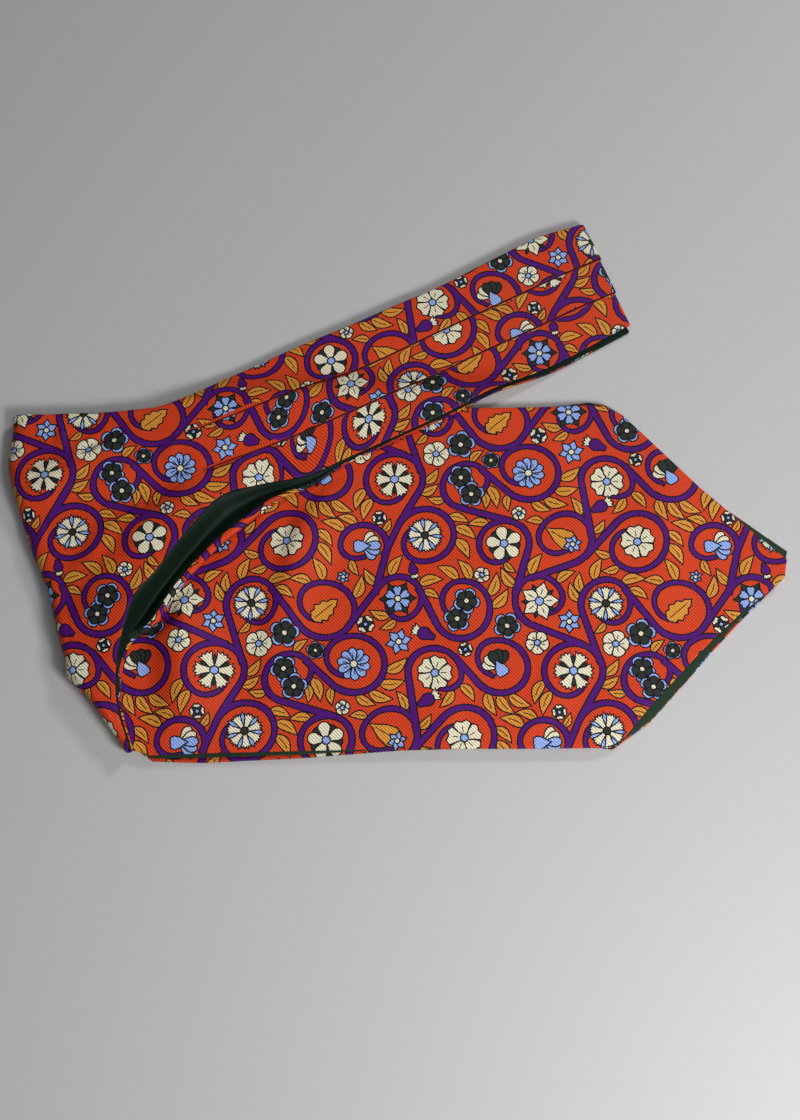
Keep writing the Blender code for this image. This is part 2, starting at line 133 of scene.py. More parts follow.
# Soft folds: points of a fold's crest with its height at each, and how far it reaches to the left
# and right of the way along them.
Fold = namedtuple("Fold", "crest left right")


def even_fold(start, end, reach, height):
    """A straight fold of one height and reach."""
    return Fold(((*start, height), (*end, height)), reach, reach)


FAN_CREASES = [even_fold(*row) for row in (
    ((-96, 17), (-140, 22), 16, 1.1),
    ((-118, 2), (-152, -12), 14, 0.9),
    ((-140, 24), (-133, 2), 10, -1.0),
    ((-122, -38), (-136, -70), 12, 0.9),
    ((-90, -8), (-112, -34), 12, 0.8),
)]
BLADE_CREASES = [even_fold(*row) for row in (
    ((-70, -58), (-24, -18), 18, 1.1),
    ((-92, -78), (-98, -108), 16, 0.9),
    ((10, -60), (70, -20), 28, 0.8),
    ((-40, -92), (10, -84), 24, 0.7),
)]

# ---- sizes of the dressed cloth
SILK = 0.24             # one thickness of the silk
BAND_STEPS = 6          # rows between two stations of the band
FOLD_STEPS = 8          # rows round half a fold
HIDDEN_WIDTH = 16.0     # cloth that a pleat hides, in the print
CELL = 3.0              # spacing of the blade's own points


def smooth(value):
    """Ease from 0 to 1."""
    value = min(max(value, 0.0), 1.0)
    return value * value * (3.0 - 2.0 * value)


def lerp(a, b, share):
    return a + (b - a) * share


def curve_through(points, place):
    """Point of the smooth curve through the points; place counts from 0 to len(points) - 1."""
    last = len(points) - 1
    index = min(int(place), last - 1)
    t = place - index
    before = points[index - 1] if index > 0 else 2 * points[0] - points[1]
    after = points[index + 2] if index + 2 <= last else 2 * points[last] - points[last - 1]
    start, end = points[index], points[index + 1]
    return 0.5 * (
        2 * start
        + (end - before) * t
        + (2 * before - 5 * start + 4 * end - after) * t * t
        + (3 * start - before - 3 * end + after) * t * t * t
    )


def fold_height(folds, x, y):
    """Sum of the folds at a place."""
    height = 0.0
    here = Vector((x, y))
    for fold in folds:
        nearest = None
        for (ax, ay, before), (bx, by, after) in zip(fold.crest, fold.crest[1:]):
            along = Vector((bx - ax, by - ay))
            offset = here - Vector((ax, ay))
            share = min(max(offset.dot(along) / along.length_squared, 0.0), 1.0)
            away = offset - along * share
            if nearest is None or away.length < nearest[0]:
                side = along.x * away.y - along.y * away.x
                nearest = (away.length, lerp(before, after, share), fold.left if side > 0 else fold.right)
        distance, crest, reach = nearest
        height += crest * smooth(1.0 - distance / reach)
    return height


def blade_top_edge(x):
    """Y of the top blade's upper edge at x."""
    highs = [row.high for row in BLADE_ROWS]
    if x <= highs[0][0]:
        return highs[0][1]
    for left, right in zip(highs, highs[1:]):
        if x <= right[0]:
            return lerp(left[1], right[1], (x - left[0]) / (right[0] - left[0]))
    return highs[-1][1]


def band_support(x, y):
    """Height on which the band lies: the blade's top, easing down to the table beyond its edge."""
    beyond = y - blade_top_edge(x) - DRAPE_MARGIN
    return BAND_Z * (1.0 - smooth(beyond / DRAPE_WIDTH))


# ---- the band's stations
LOW = 4.0               # place of the low edge: places across the band count its control points


class Station:
    """One crossing of the band: five control points, the lip beside it, and its lift and laps."""

    def __init__(self, controls, lip, lift, laps):
        self.controls = controls
        self.lip = lip
        self.lift = max(lift, 0.0)
        self.laps = min(max(laps, 0.0), 1.0)

    def at(self, place):
        return curve_through(self.controls, place)

    def across(self, place):
        """Unit vector along the crossing, towards the low edge."""
        step = 0.05
        return (self.at(min(place + step, LOW)) - self.at(max(place - step, 0.0))).normalized()

    def outward(self):
        """Unit vector from the low edge to the lip."""
        return (self.lip - self.at(LOW)).normalized()


def inward(edge, towards):
    """Unit vectors square to an edge line at each of its points, on the side that towards is on."""
    result = []
    for index, point in enumerate(edge):
        ahead = edge[min(index + 1, len(edge) - 1)]
        behind = edge[max(index - 1, 0)]
        tangent = (ahead - behind).normalized()
        normal = Vector((-tangent.y, tangent.x))
        if normal.dot(towards[index] - point) < 0:
            normal.negate()
        result.append(normal)
    return result


class Band:
    """The band's rows from its right fold to its left one."""

    def __init__(self):
        rows = [
            Station([Vector(row[index]) for index in range(5)], Vector(row.lip), row.lift, row.laps)
            for row in BAND_ROWS
        ]
        self.fold_edge = [Vector(point) for point in LEFT_FOLD]
        self.in_left = inward(self.fold_edge, rows[-1].controls)
        start = [
            point + normal * (CLOTH + reach)
            for point, normal, reach in zip(self.fold_edge, self.in_left, LEFT_REACH)
        ]
        rows.append(Station(start, start[-1] + Vector(LEFT_LIP_STEP), LEFT_LIFT, 0.0))
        self.right_edge = rows[0].controls
        self.in_right = inward(self.right_edge, rows[1].controls)
        shifts = [normal * (CLOTH + RIGHT_REACH) for normal in self.in_right]
        controls = [point + shift for point, shift in zip(self.right_edge, shifts)]
        rows[0] = Station(controls, rows[0].lip + shifts[-1], rows[0].lift, rows[0].laps)
        self.rows = rows

    def station(self, place):
        rows = self.rows
        controls = [curve_through([row.controls[k] for row in rows], place) for k in range(5)]
        lip, lift, laps = (
            curve_through([getattr(row, name) for row in rows], place) for name in ("lip", "lift", "laps")
        )
        return Station(controls, lip, lift, laps)

    def stations(self, first=0):
        count = (len(self.rows) - 1 - first) * BAND_STEPS + 1
        return [self.station(first + k / BAND_STEPS) for k in range(count)]


BAND = Band()


def billow(place):
    return smooth(place / 2.0)


def band_height(station, place):
    """Underside of the lowest of the band's walls at a place across it."""
    point = station.at(place)
    lifted = station.lift * billow(place)
    if lifted > 0.0:
        lifted = max(lifted + billow(place) * fold_height(FAN_CREASES, point.x, point.y), 0.0)
    return band_support(point.x, point.y) + lifted


def pile_top(station, place):
    """Top of the band's three walls in the CAD part."""
    return band_height(station, place) + 2 * (CLOTH + GAP) + CLOTH + 2 * PLEAT_STEP * station.laps


def raised(point, height):
    return Vector((point.x, point.y, height))


# ---- the printed design
INK, GROUND, PURPLE, OCHRE, CREAM, OLIVE, BLUE = range(7)
SHADE = 7               # the ground darkened as painted shade at a pleat's edge
DYES = (
    (0.006, 0.006, 0.012),
    (0.66, 0.052, 0.012),
    (0.085, 0.005, 0.175),
    (0.700, 0.285, 0.037),
    (0.800, 0.735, 0.530),
    (0.025, 0.030, 0.022),
    (0.290, 0.420, 0.820),
    # painted shade of the ground at a pleat's edge
    (0.070, 0.008, 0.008),
)
REPEAT = (155.0, 87.0)  # a half drop: each repeat across the cloth is moved on by half of one
LINE = 0.62             # ink round a shape, and along a vein
VEIN = 0.42


def turned(points, angle, centre):
    c, s = cos(angle), sin(angle)
    return [(centre[0] + x * c - y * s, centre[1] + x * s + y * c) for x, y in points]


def twice_area(points):
    return sum(a[0] * b[1] - b[0] * a[1] for a, b in zip(points, points[1:] + points[:1]))


def anticlockwise(points):
    return points if twice_area(points) > 0 else points[::-1]


def widened(points, distance):
    """A shape's outline moved outwards."""
    moved = []
    count = len(points)
    for k, here in enumerate(points):
        here = Vector(here)
        before = (here - Vector(points[k - 1])).normalized()
        after = (Vector(points[(k + 1) % count]) - here).normalized()
        out = Vector((before.y + after.y, -before.x - after.x))
        if out.length < 0.4:        # a sharp tip moves out along itself
            out = before - after
            reach = 1.4
        else:
            reach = min(2.0 / max(out.length, 0.9), 1.8)
        moved.append(tuple(here + out.normalized() * distance * reach))
    return moved


def disc(radius, steps=10):
    return [on_ring((0, 0), radius, 2 * pi * k / steps) for k in range(steps)]


def extent(points):
    """Low and high corner of the box round some points."""
    xs, ys = zip(*points)
    return (min(xs), min(ys)), (max(xs), max(ys))


# Half outlines of petals: share of the length, share of the half width.
PETALS = {
    "round": ((0, .3), (.3, .62), (.58, 1), (.78, .95), (.93, .62), (1, 0)),
    "pointed": ((0, .25), (.3, .8), (.55, .85), (.8, .35), (1, 0)),
    "notched": ((0, .25), (.4, .6), (.75, 1), (.97, .6), (.86, 0)),
    "fringed": ((0, .2), (.6, .6), (.92, 1), (.84, .55), (1, .36), (.88, 0)),
    "heart": ((0, .1), (.02, .75), (.22, 1), (.55, .75), (.85, .2), (1, 0)),
    "toothed": (
        (0, .2), (.12, .7), (.24, .62), (.34, 1), (.48, .72), (.6, .85), (.74, .4), (.84, .42), (1, 0)
    ),
}


def petal(kind, start, radius, width):
    side = [(start + x * (radius - start), y * width) for x, y in PETALS[kind]]
    return side + [(x, -y) for x, y in side[-2::-1]]


def ribbon(path, widths):
    """Outline of a stroke along a path; widths holds a width for each point."""
    left, right = [], []
    last = len(path) - 1
    for k, (here, width) in enumerate(zip(path, widths)):
        along = Vector(path[min(k + 1, last)]) - Vector(path[max(k - 1, 0)])
        side = Vector((-along.y, along.x)).normalized() * width / 2
        left.append(tuple(Vector(here) + side))
        right.append(tuple(Vector(here) - side))
    return anticlockwise(left + right[::-1])


# The scrolls of the vine: centre, radius, hand (1 turns left), and degrees that it turns through.
Scroll = namedtuple("Scroll", "x y radius hand curl")
SCROLLS = [Scroll(*row) for row in (
    (0, 0, 12.4, 1, 390), (32, -3, 10.4, -1, 330), (60, 3, 13.0, 1, 405),
    (95, -1, 11.2, -1, 300), (123, 2, 12.0, 1, 380),
    (15, 30, 10.8, -1, 350), (47, 27, 12.8, 1, 400), (79, 32, 10.2, -1, 310),
    (107, 27, 12.6, 1, 385), (141, 31, 11.0, -1, 340),
    (-2, 59, 11.8, 1, 360), (30, 58, 13.0, -1, 410), (64, 56, 10.0, 1, 290),
    (91, 61, 12.5, -1, 395), (126, 57, 10.8, 1, 345),
)]
VINE = 1.95             # width of the vine
CURL_END = 5.0          # radius at which a scroll ends, under the flower
CURL_FROM = 0.66        # share of a scroll's turn after which it curls inwards
SCROLL_STEPS = 34

# Flowers, petal ring by petal ring from the back: radius, petals, their kind, dye, how plump they
# are, share of a petal that the ring is turned by, and whether each petal has a vein.
Ring = namedtuple("Ring", "radius count kind dye plump turn vein")
FLOWERS = (
    ((Ring(6.6, 6, "pointed", OLIVE, .5, .5, 0), Ring(8.2, 6, "fringed", CREAM, .9, 0, 0)), BLUE),
    ((Ring(7.4, 5, "pointed", OLIVE, .5, .5, 0), Ring(8.4, 5, "pointed", CREAM, .75, 0, 1)), BLUE),
    ((Ring(7.0, 10, "round", BLUE, 1.0, 0, 1),), CREAM),
    ((Ring(7.4, 5, "notched", CREAM, 1.05, 0, 1),), BLUE),
    ((Ring(7.6, 8, "round", BLUE, .9, 0, 0), Ring(4.6, 8, "pointed", CREAM, .8, .5, 0)), OLIVE),
    ((Ring(7.8, 7, "pointed", BLUE, .6, .5, 0), Ring(7.2, 7, "fringed", CREAM, .8, 0, 0)), OLIVE),
    ((Ring(6.8, 5, "round", OLIVE, .9, .5, 0), Ring(7.8, 5, "round", CREAM, .66, 0, 0)), BLUE),
    ((Ring(7.6, 6, "heart", OLIVE, .9, 0, 0), Ring(5.6, 6, "notched", BLUE, .8, .5, 0)), CREAM),
)
SMALL_FLOWERS = (
    ((Ring(5.0, 5, "round", CREAM, 1.0, 0, 1),), BLUE),
    ((Ring(5.7, 5, "round", BLUE, .80, 0, 0), Ring(4.3, 5, "round", OLIVE, .80, 0, 0)), CREAM),
    ((Ring(4.6, 6, "pointed", BLUE, .9, 0, 0),), CREAM),
    ((Ring(4.8, 4, "notched", CREAM, .8, 0, 0), Ring(3.6, 4, "pointed", OLIVE, .5, .5, 0)), BLUE),
)


SQUARE = 5              # side of the squares that the drawing is kept in, to find what is near
LEAF_GAP = 0.68         # ground left clear round a leaf


class Design:
    """Dyed shapes in cloth millimetres; later ones lie over earlier ones."""

    def __init__(self):
        self.shapes = []
        self.taken = {}         # discs of cloth already drawn on, by the square of cloth they are in

    def dye(self, points, colour):
        self.shapes.append((anticlockwise(points), colour))

    def draw(self, points, colour):
        """A shape with its ink outline."""
        points = anticlockwise(points)
        self.dye(widened(points, LINE), INK)
        self.dye(points, colour)

    def put(self, outline, turn, at, colour):
        """A shape drawn round the origin, turned and moved to its place."""
        self.draw(turned(outline, turn, at), colour)

    def vein(self, path, turn, at):
        self.dye(turned(ribbon(path, [VEIN] * len(path)), turn, at), INK)

    def take(self, at, radius):
        """Mark a disc as drawn on, in this repeat and in those round it."""
        for across in (-1, 0, 1):
            for along in (-1, 0, 1):
                x, y = Vector(at) + lattice(along, across)
                self.taken.setdefault((int(x // SQUARE), int(y // SQUARE)), []).append((x, y, radius))

    def clear(self, at):
        """Distance from a place to the nearest drawing."""
        across = at[1] // REPEAT[1]
        x = at[0] - across * REPEAT[0] / 2
        x, y = x % REPEAT[0], at[1] - across * REPEAT[1]
        nearest = 10.0      # as far as the squares round it reach
        for i in range(int(x // SQUARE) - 2, int(x // SQUARE) + 3):
            for j in range(int(y // SQUARE) - 2, int(y // SQUARE) + 3):
                for ox, oy, radius in self.taken.get((i, j), ()):
                    nearest = min(nearest, ((x - ox) ** 2 + (y - oy) ** 2) ** 0.5 - radius)
        return nearest

    def leaf(self, at, angle, length, width, bend):
        """A leaf with its midrib, if there is room for it."""
        spine = [(length * k / 7, bend * length * sin(pi * k / 7)) for k in range(8)]
        half = [width / 2 * sin(pi * (k / 7) ** 0.75) for k in range(8)]
        places = turned(spine, angle, at)
        if any(self.clear(places[k]) < half[k] + LEAF_GAP for k in (3, 5, 6, 7)):
            return False
        for k in (1, 2, 4, 5, 6):
            self.take(places[k], half[k])
        upper = [(x, y + w) for (x, y), w in zip(spine, half)]
        lower = [(x, y - w) for (x, y), w in zip(spine, half)][1:-1]
        self.put(upper + lower[::-1], angle, at, OCHRE)
        self.vein(spine[1:6:2], angle, at)
        return True

    def flower(self, at, kind, turn, size=1.0):
        """A flower seen from above."""
        rings, eye = kind
        for ring in rings:
            radius = ring.radius * size
            width = ring.plump * pi * radius * 0.72 / ring.count
            for k in range(ring.count):
                way = turn + 2 * pi * (k + ring.turn) / ring.count
                self.put(petal(ring.kind, 0.12 * radius, radius, width), way, at, ring.dye)
                if ring.vein:
                    self.vein([(0.35 * radius, 0), (0.68 * radius, 0)], way, at)
        self.put(disc(0.16 * rings[-1].radius * size + 0.25), 0.0, at, eye)

    def side_flower(self, at, turn, dyes, cup):
        """A flower seen from the side: a fan of petals out of a cup."""
        for k, step in enumerate((-2, 2, -1, 1, 0)):
            self.put(petal("round", 0, 7.4, 1.8), turn + 0.48 * step, at, dyes[k % len(dyes)])
        self.put(petal("heart", -4.2, 2.6, 2.6), turn, at, cup)

    def bud(self, at, turn, size=1.0):
        self.put(petal("fringed", -1.0 * size, 5.6 * size, 2.4 * size), turn, at, CREAM)
        self.put(petal("round", -4.5 * size, 2.8 * size, 2.5 * size), turn, at, PURPLE)

    def big_leaf(self, at, turn, kind):
        self.put(petal(kind, -6.5, 7.0, 4.2), turn, at, OCHRE)
        self.vein([(-5.5, 0), (0, 0), (4.5, 0)], turn, at)


def on_ring(centre, radius, angle):
    return (centre[0] + radius * cos(angle), centre[1] + radius * sin(angle))


def lattice(along, across):
    return Vector((along * REPEAT[0] + across * REPEAT[0] / 2, across * REPEAT[1]))


def parent_of(scroll):
    """The scroll that this one springs from: the nearest of the other hand, below or to the left."""
    here = Vector((scroll.x, scroll.y))
    nearest = None
    for other in SCROLLS:
        if other.hand == scroll.hand:
            continue
        for across in (-1, 0, 1):
            for along in (-2, -1, 0, 1):
                place = Vector((other.x, other.y)) + lattice(along, across)
                step = here - place
                if 0.8 * step.x + step.y > 4.0 and (nearest is None or step.length < nearest[0]):
                    nearest = (step.length, other.radius, other.hand, place)
    return nearest[1:]


def scroll_radius(scroll, turn):
    """A scroll's radius after a turn in degrees: a hand's unevenness, then inwards to the flower."""
    uneven = 1.0 + 0.035 * sin(radians(2 * turn) + scroll.x)
    return lerp(scroll.radius * uneven, CURL_END, smooth((turn / scroll.curl - CURL_FROM) / 0.34))


def scroll_path(scroll):
    """A vine: off its parent's ring along the line that touches both, then round and inwards."""
    radius, hand, start = parent_of(scroll)
    here = Vector((scroll.x, scroll.y))
    between = here - start
    heading = atan2(between.y, between.x)
    opening = acos(min((radius + scroll.radius) / between.length, 1.0))
    leave = heading - hand * opening
    enter = leave + pi
    first = Vector(on_ring(start, radius, leave))
    path = [tuple(first)]
    for k in range(SCROLL_STEPS + 1):
        turn = scroll.curl * k / SCROLL_STEPS
        place = on_ring(here, scroll_radius(scroll, turn), enter + scroll.hand * radians(turn))
        if k == 0:
            path += [tuple(first.lerp(Vector(place), share)) for share in (0.33, 0.67)]
        path.append(place)
    return path


def scroll_centre(row, column):
    """Centre of the scroll in a row and column of the drawing, counted over its repeats."""
    across, row_left = divmod(row, 3)
    along, column_left = divmod(column, 5)
    scroll = SCROLLS[5 * row_left + column_left]
    return Vector((scroll.x, scroll.y)) + lattice(along, across)


def fill_heart(design, scroll, number):
    """What stands within a scroll."""
    at = (scroll.x, scroll.y)
    turn = 2.1 * number
    if number in (1, 8):
        for way in (turn, turn + pi):
            design.flower(on_ring(at, 4.5, way), SMALL_FLOWERS[1], way)
    elif number in (4, 12):
        design.side_flower(at, turn, (OLIVE, CREAM) if number == 4 else (BLUE, CREAM), BLUE)
    elif number == 6:
        design.big_leaf(at, 0.7, "toothed")
    elif number == 10:
        design.big_leaf(on_ring(at, 2.5, 2.6), 2.6, "heart")
        design.flower(on_ring(at, 4.0, -0.6), SMALL_FLOWERS[2], 0.3, 0.8)
    else:
        design.flower(at, FLOWERS[number % len(FLOWERS)], turn)


# Leaves that are tried beside the vine, each until one has room: length, and lean away from it.
LEAVES = ((10.5, .75), (10.5, 1.15), (9.0, .55), (9.0, 1.35), (7.5, .9), (6.2, 1.2))
NUDGES = (-3, -1.5, 0, 1.5, 3)      # how far a gap's middle is moved to find the most room
LEAST_ROOM = 3.4                    # radius that a small flower needs
HEART_ROOM = 8.0                    # and that the flower within a scroll needs


def vine_widths(path, scroll):
    """Widths along a vine, which gets thinner and is a little uneven."""
    count = len(path)
    return [VINE * (lerp(1.2, 0.66, k / count) + 0.07 * sin(0.9 * k + scroll.x)) for k in range(count)]


def find_gaps(design):
    """Places between three scrolls that have room for a small flower, each with its room."""
    gaps = []
    for row in range(3):
        for column in range(5):
            for steps in (((1, 0), (0, 1)), ((1, 0), (1, -1))):
                corner = [scroll_centre(row, column)]
                corner += [scroll_centre(row + across, column + along) for along, across in steps]
                at = sum(corner, Vector((0.0, 0.0))) / 3
                best = max(
                    (design.clear((at.x + dx, at.y + dy)), at.x + dx, at.y + dy)
                    for dx in NUDGES for dy in NUDGES
                )
                if best[0] > LEAST_ROOM:
                    gaps.append(best)
                    design.take(best[1:], min(best[0] - 0.8, 5.4))
    return gaps


def add_leaves(design, path):
    """Leaves on both sides of a vine, wherever there is room."""
    for k in range(3, len(path) - 5, 2):
        along = Vector(path[k + 1]) - Vector(path[k - 1])
        heading = atan2(along.y, along.x)
        for side in (1, -1):
            at = tuple(Vector(path[k]) + Vector((-along.y, along.x)).normalized() * side * 0.9 * VINE / 2)
            for length, lean in LEAVES:
                if design.leaf(at, heading + side * lean, length, 0.36 * length + 0.5, 0.1 * side):
                    break


def make_design():
    design = Design()
    paths = []
    for scroll in SCROLLS:
        path = scroll_path(scroll)
        paths.append((path, vine_widths(path, scroll)))
        for k, place in enumerate(path):
            design.take(place, VINE / 2)
            if k:
                design.take(tuple((Vector(place) + Vector(path[k - 1])) / 2), VINE / 2)
        design.take((scroll.x, scroll.y), HEART_ROOM)
    gaps = find_gaps(design)
    for path, widths in paths:
        add_leaves(design, path)
    for path, widths in paths:
        design.dye(widened(ribbon(path, widths), LINE), INK)
    for path, widths in paths:
        design.dye(ribbon(path, widths), PURPLE)
    for number, scroll in enumerate(SCROLLS):
        fill_heart(design, scroll, number)
    for number, (room, x, y) in enumerate(gaps):
        turn = 1.7 * number
        if number % 5 == 4:
            design.bud((x, y), turn, min(room / 5.0, 1.0))
        else:
            design.flower((x, y), SMALL_FLOWERS[number % 5], turn, min((room - 0.9) / 4.9, 1.15))
    return design.shapes


DESIGN = make_design()


def shapes_over(low, high, wanted):
    """The design's shapes, repeated over a stretch of cloth, in their order of printing."""
    result = []
    for points, colour in DESIGN:
        shape_low, shape_high = extent(points)
        first_across = int((low[1] - shape_high[1]) // REPEAT[1]) + 1
        last_across = int((high[1] - shape_low[1]) // REPEAT[1])
        for across in range(first_across, last_across + 1):
            half = across * REPEAT[0] / 2
            first = int((low[0] - shape_high[0] - half) // REPEAT[0]) + 1
            last = int((high[0] - shape_low[0] - half) // REPEAT[0])
            for along in range(first, last + 1):
                shift = lattice(along, across)
                moved = [(x + shift.x, y + shift.y) for x, y in points]
                if wanted is None or any(wanted(place) for place in moved[::6]):
                    result.append((moved, colour))
    return result


# ---- sheets
def grid_normals(grid):
    """Unit normals of a grid of points, towards the right side of the cloth."""
    last_row, last_column = len(grid) - 1, len(grid[0]) - 1
    normals = []
    for i in range(last_row + 1):
        line = []
        for j in range(last_column + 1):
            along = grid[min(i + 1, last_row)][j] - grid[max(i - 1, 0)][j]
            across = grid[i][min(j + 1, last_column)] - grid[i][max(j - 1, 0)]
            line.append(along.cross(across).normalized())
        normals.append(line)
    return normals


# One face of a sheet: its points, unit normals, cloth coordinates and faces.
Side = namedtuple("Side", "points normals cloth faces")


def new_mesh(name, points, faces, finish):
    mesh = bpy.data.meshes.new(name)
    mesh.from_pydata([(point + PLAN_SHIFT) * MM for point in points], [], faces)
    mesh.update()
    mesh.materials.append(finish)
    return mesh


def in_scene(name, data):
    """An object that holds the data, linked to the scene."""
    thing = bpy.data.objects.new(name, data)
    bpy.context.scene.collection.objects.link(thing)
    return thing


def rim_of(faces):
    """The edges that only one face has, each with its face."""
    edges = {}
    for face in faces:
        for a, b in zip(face, face[1:] + face[:1]):
            if (b, a) in edges:
                del edges[(b, a)]
            else:
                edges[(a, b)] = face
    return edges


def sheet_object(name, front, back, partner, dyes, finish, floor=False):
    """Closed sheet: the right side, the wrong side one thickness inside it, and the edge between.

    partner gives the back's point for each of the front's rim points. With floor, the wrong side
    lies flat on the table.
    """
    count = len(front.points)
    inner = [p - n * SILK for p, n in zip(back.points, back.normals)]
    if floor:
        inner = [Vector((p.x, p.y, 0.0)) for p in back.points]
    edges = rim_of(front.faces)
    all_faces = [tuple(face) for face in front.faces]
    all_faces += [tuple(index + count for index in reversed(face)) for face in back.faces]
    all_faces += [(b, a, partner[a] + count, partner[b] + count) for a, b in edges]
    mesh = new_mesh(name, front.points + inner, all_faces, finish)
    mesh.polygons.foreach_set("use_smooth", [True] * len(mesh.polygons))

    places = front.cloth + back.cloth
    uv = mesh.uv_layers.new(name="cloth")
    corners = [places[index] for face in all_faces for index in face]
    uv.data.foreach_set("uv", [value * MM for corner in corners for value in corner])

    if dyes is not None:
        rim_dyes = {tuple(face): dye for face, dye in zip(front.faces, dyes)}
        sides = list(dyes) + [GROUND] * len(back.faces) + [rim_dyes[tuple(face)] for face in edges.values()]
        colours = mesh.color_attributes.new("dye", "FLOAT_COLOR", "CORNER")
        values = []
        for face, dye in zip(all_faces, sides):
            values += [*DYES[dye], 1.0] * len(face)
        colours.data.foreach_set("color", values)

    loop_normals = [front.normals[index] for face in front.faces for index in face]
    loop_normals += [-back.normals[index] for face in back.faces for index in reversed(face)]
    for a, b in edges:
        out = (front.points[b] - front.points[a]).cross(front.normals[a] + front.normals[b])
        loop_normals += [out.normalized() if out.length > 0 else front.normals[a]] * 4
    mesh.normals_split_custom_set(loop_normals)
    return in_scene(name, mesh)


def plain_sheet(name, grid_and_cloth, finish):
    """A sheet of one colour over a grid."""
    grid, cloth = grid_and_cloth
    rows, columns = len(grid), len(grid[0])
    faces = []
    for i in range(rows - 1):
        for j in range(columns - 1):
            a = i * columns + j
            faces.append([a, a + columns, a + columns + 1, a + 1])
    side = Side([p for row in grid for p in row], [n for row in grid_normals(grid) for n in row],
                [c for row in cloth for c in row], faces)
    return sheet_object(name, side, side, range(rows * columns), None, finish)


FLAT_ENOUGH = cos(radians(3.0))     # bend between two triangles that isn't worth a cut


class Chart:
    """Finds the place on a grid of the cloth from a point of the flat cloth."""

    BIN = 4.0

    def __init__(self, grid, normals, cloth):
        self.bins = {}
        for i in range(len(grid) - 1):
            for j in range(len(grid[0]) - 1):
                a, b, c, d = (i, j), (i + 1, j), (i + 1, j + 1), (i, j + 1)
                for three in ((a, b, c), (a, c, d)):
                    flat = [cloth[r][k] for r, k in three]
                    entry = (flat, [(grid[r][k], normals[r][k]) for r, k in three])
                    low, high = (self.bin_of(*corner) for corner in extent(flat))
                    for bx in range(low[0], high[0] + 1):
                        for by in range(low[1], high[1] + 1):
                            self.bins.setdefault((bx, by), []).append(entry)

    def bin_of(self, u, v):
        return int(u // self.BIN), int(v // self.BIN)

    def find(self, u, v):
        best, closest = None, -1e9
        for flat, solid in self.bins.get(self.bin_of(u, v), ()):
            (ax, ay), (bx, by), (cx, cy) = flat
            whole = (bx - ax) * (cy - ay) - (cx - ax) * (by - ay)
            if abs(whole) < 1e-9:
                continue
            wa = ((bx - u) * (cy - v) - (cx - u) * (by - v)) / whole
            wb = ((cx - u) * (ay - v) - (ax - u) * (cy - v)) / whole
            wc = 1.0 - wa - wb
            inside = min(wa, wb, wc)
            if inside > closest:
                closest = inside
                best = (wa, wb, wc, solid)
                if inside >= 0.0:
                    break
        wa, wb, wc, solid = best
        point = solid[0][0] * wa + solid[1][0] * wb + solid[2][0] * wc
        normal = solid[0][1] * wa + solid[1][1] * wb + solid[2][1] * wc
        return point, normal.normalized()


def cut_cloth(flat, edges, regions, chart):
    """Triangles of the first region's cloth, with the regions each lies in."""
    cut = geometry.delaunay_2d_cdt(flat, edges, regions, 1, 1e-4, True)
    vertices, faces, sources = cut[0], cut[2], cut[5]
    kept = [(face, source) for face, source in zip(faces, sources) if 0 in source and len(face) == 3]
    used = sorted({index for face, source in kept for index in face})
    renumber = {index: k for k, index in enumerate(used)}
    places = [chart.find(*vertices[index]) for index in used]
    side = Side([p for p, n in places], [n for p, n in places], [tuple(vertices[index]) for index in used],
                [[renumber[index] for index in face] for face, source in kept])
    return side, [source for face, source in kept]


def bent_edges(grid):
    """Edges of a grid's triangles, as the chart splits its cells, that the surface bends along."""
    def square(a, b, c):
        return (b - a).cross(c - a).normalized()

    first, second = {}, {}
    for i in range(len(grid) - 1):
        for j in range(len(grid[0]) - 1):
            a, b, c, d = grid[i][j], grid[i + 1][j], grid[i + 1][j + 1], grid[i][j + 1]
            first[(i, j)], second[(i, j)] = square(a, b, c), square(a, c, d)
    edges = []
    for (i, j), normal in first.items():
        for other, start, end in (
            (second[(i, j)], (i, j), (i + 1, j + 1)),
            (second.get((i, j - 1)), (i, j), (i + 1, j)),
            (second.get((i + 1, j)), (i + 1, j), (i + 1, j + 1)),
        ):
            if other is not None and normal.dot(other) < FLAT_ENOUGH:
                edges.append((start, end))
    return edges


def left_round(keys, cloth):
    """Places of a grid in the order that goes anticlockwise on the flat cloth."""
    return keys if twice_area([cloth[i][j] for i, j in keys]) > 0 else keys[::-1]


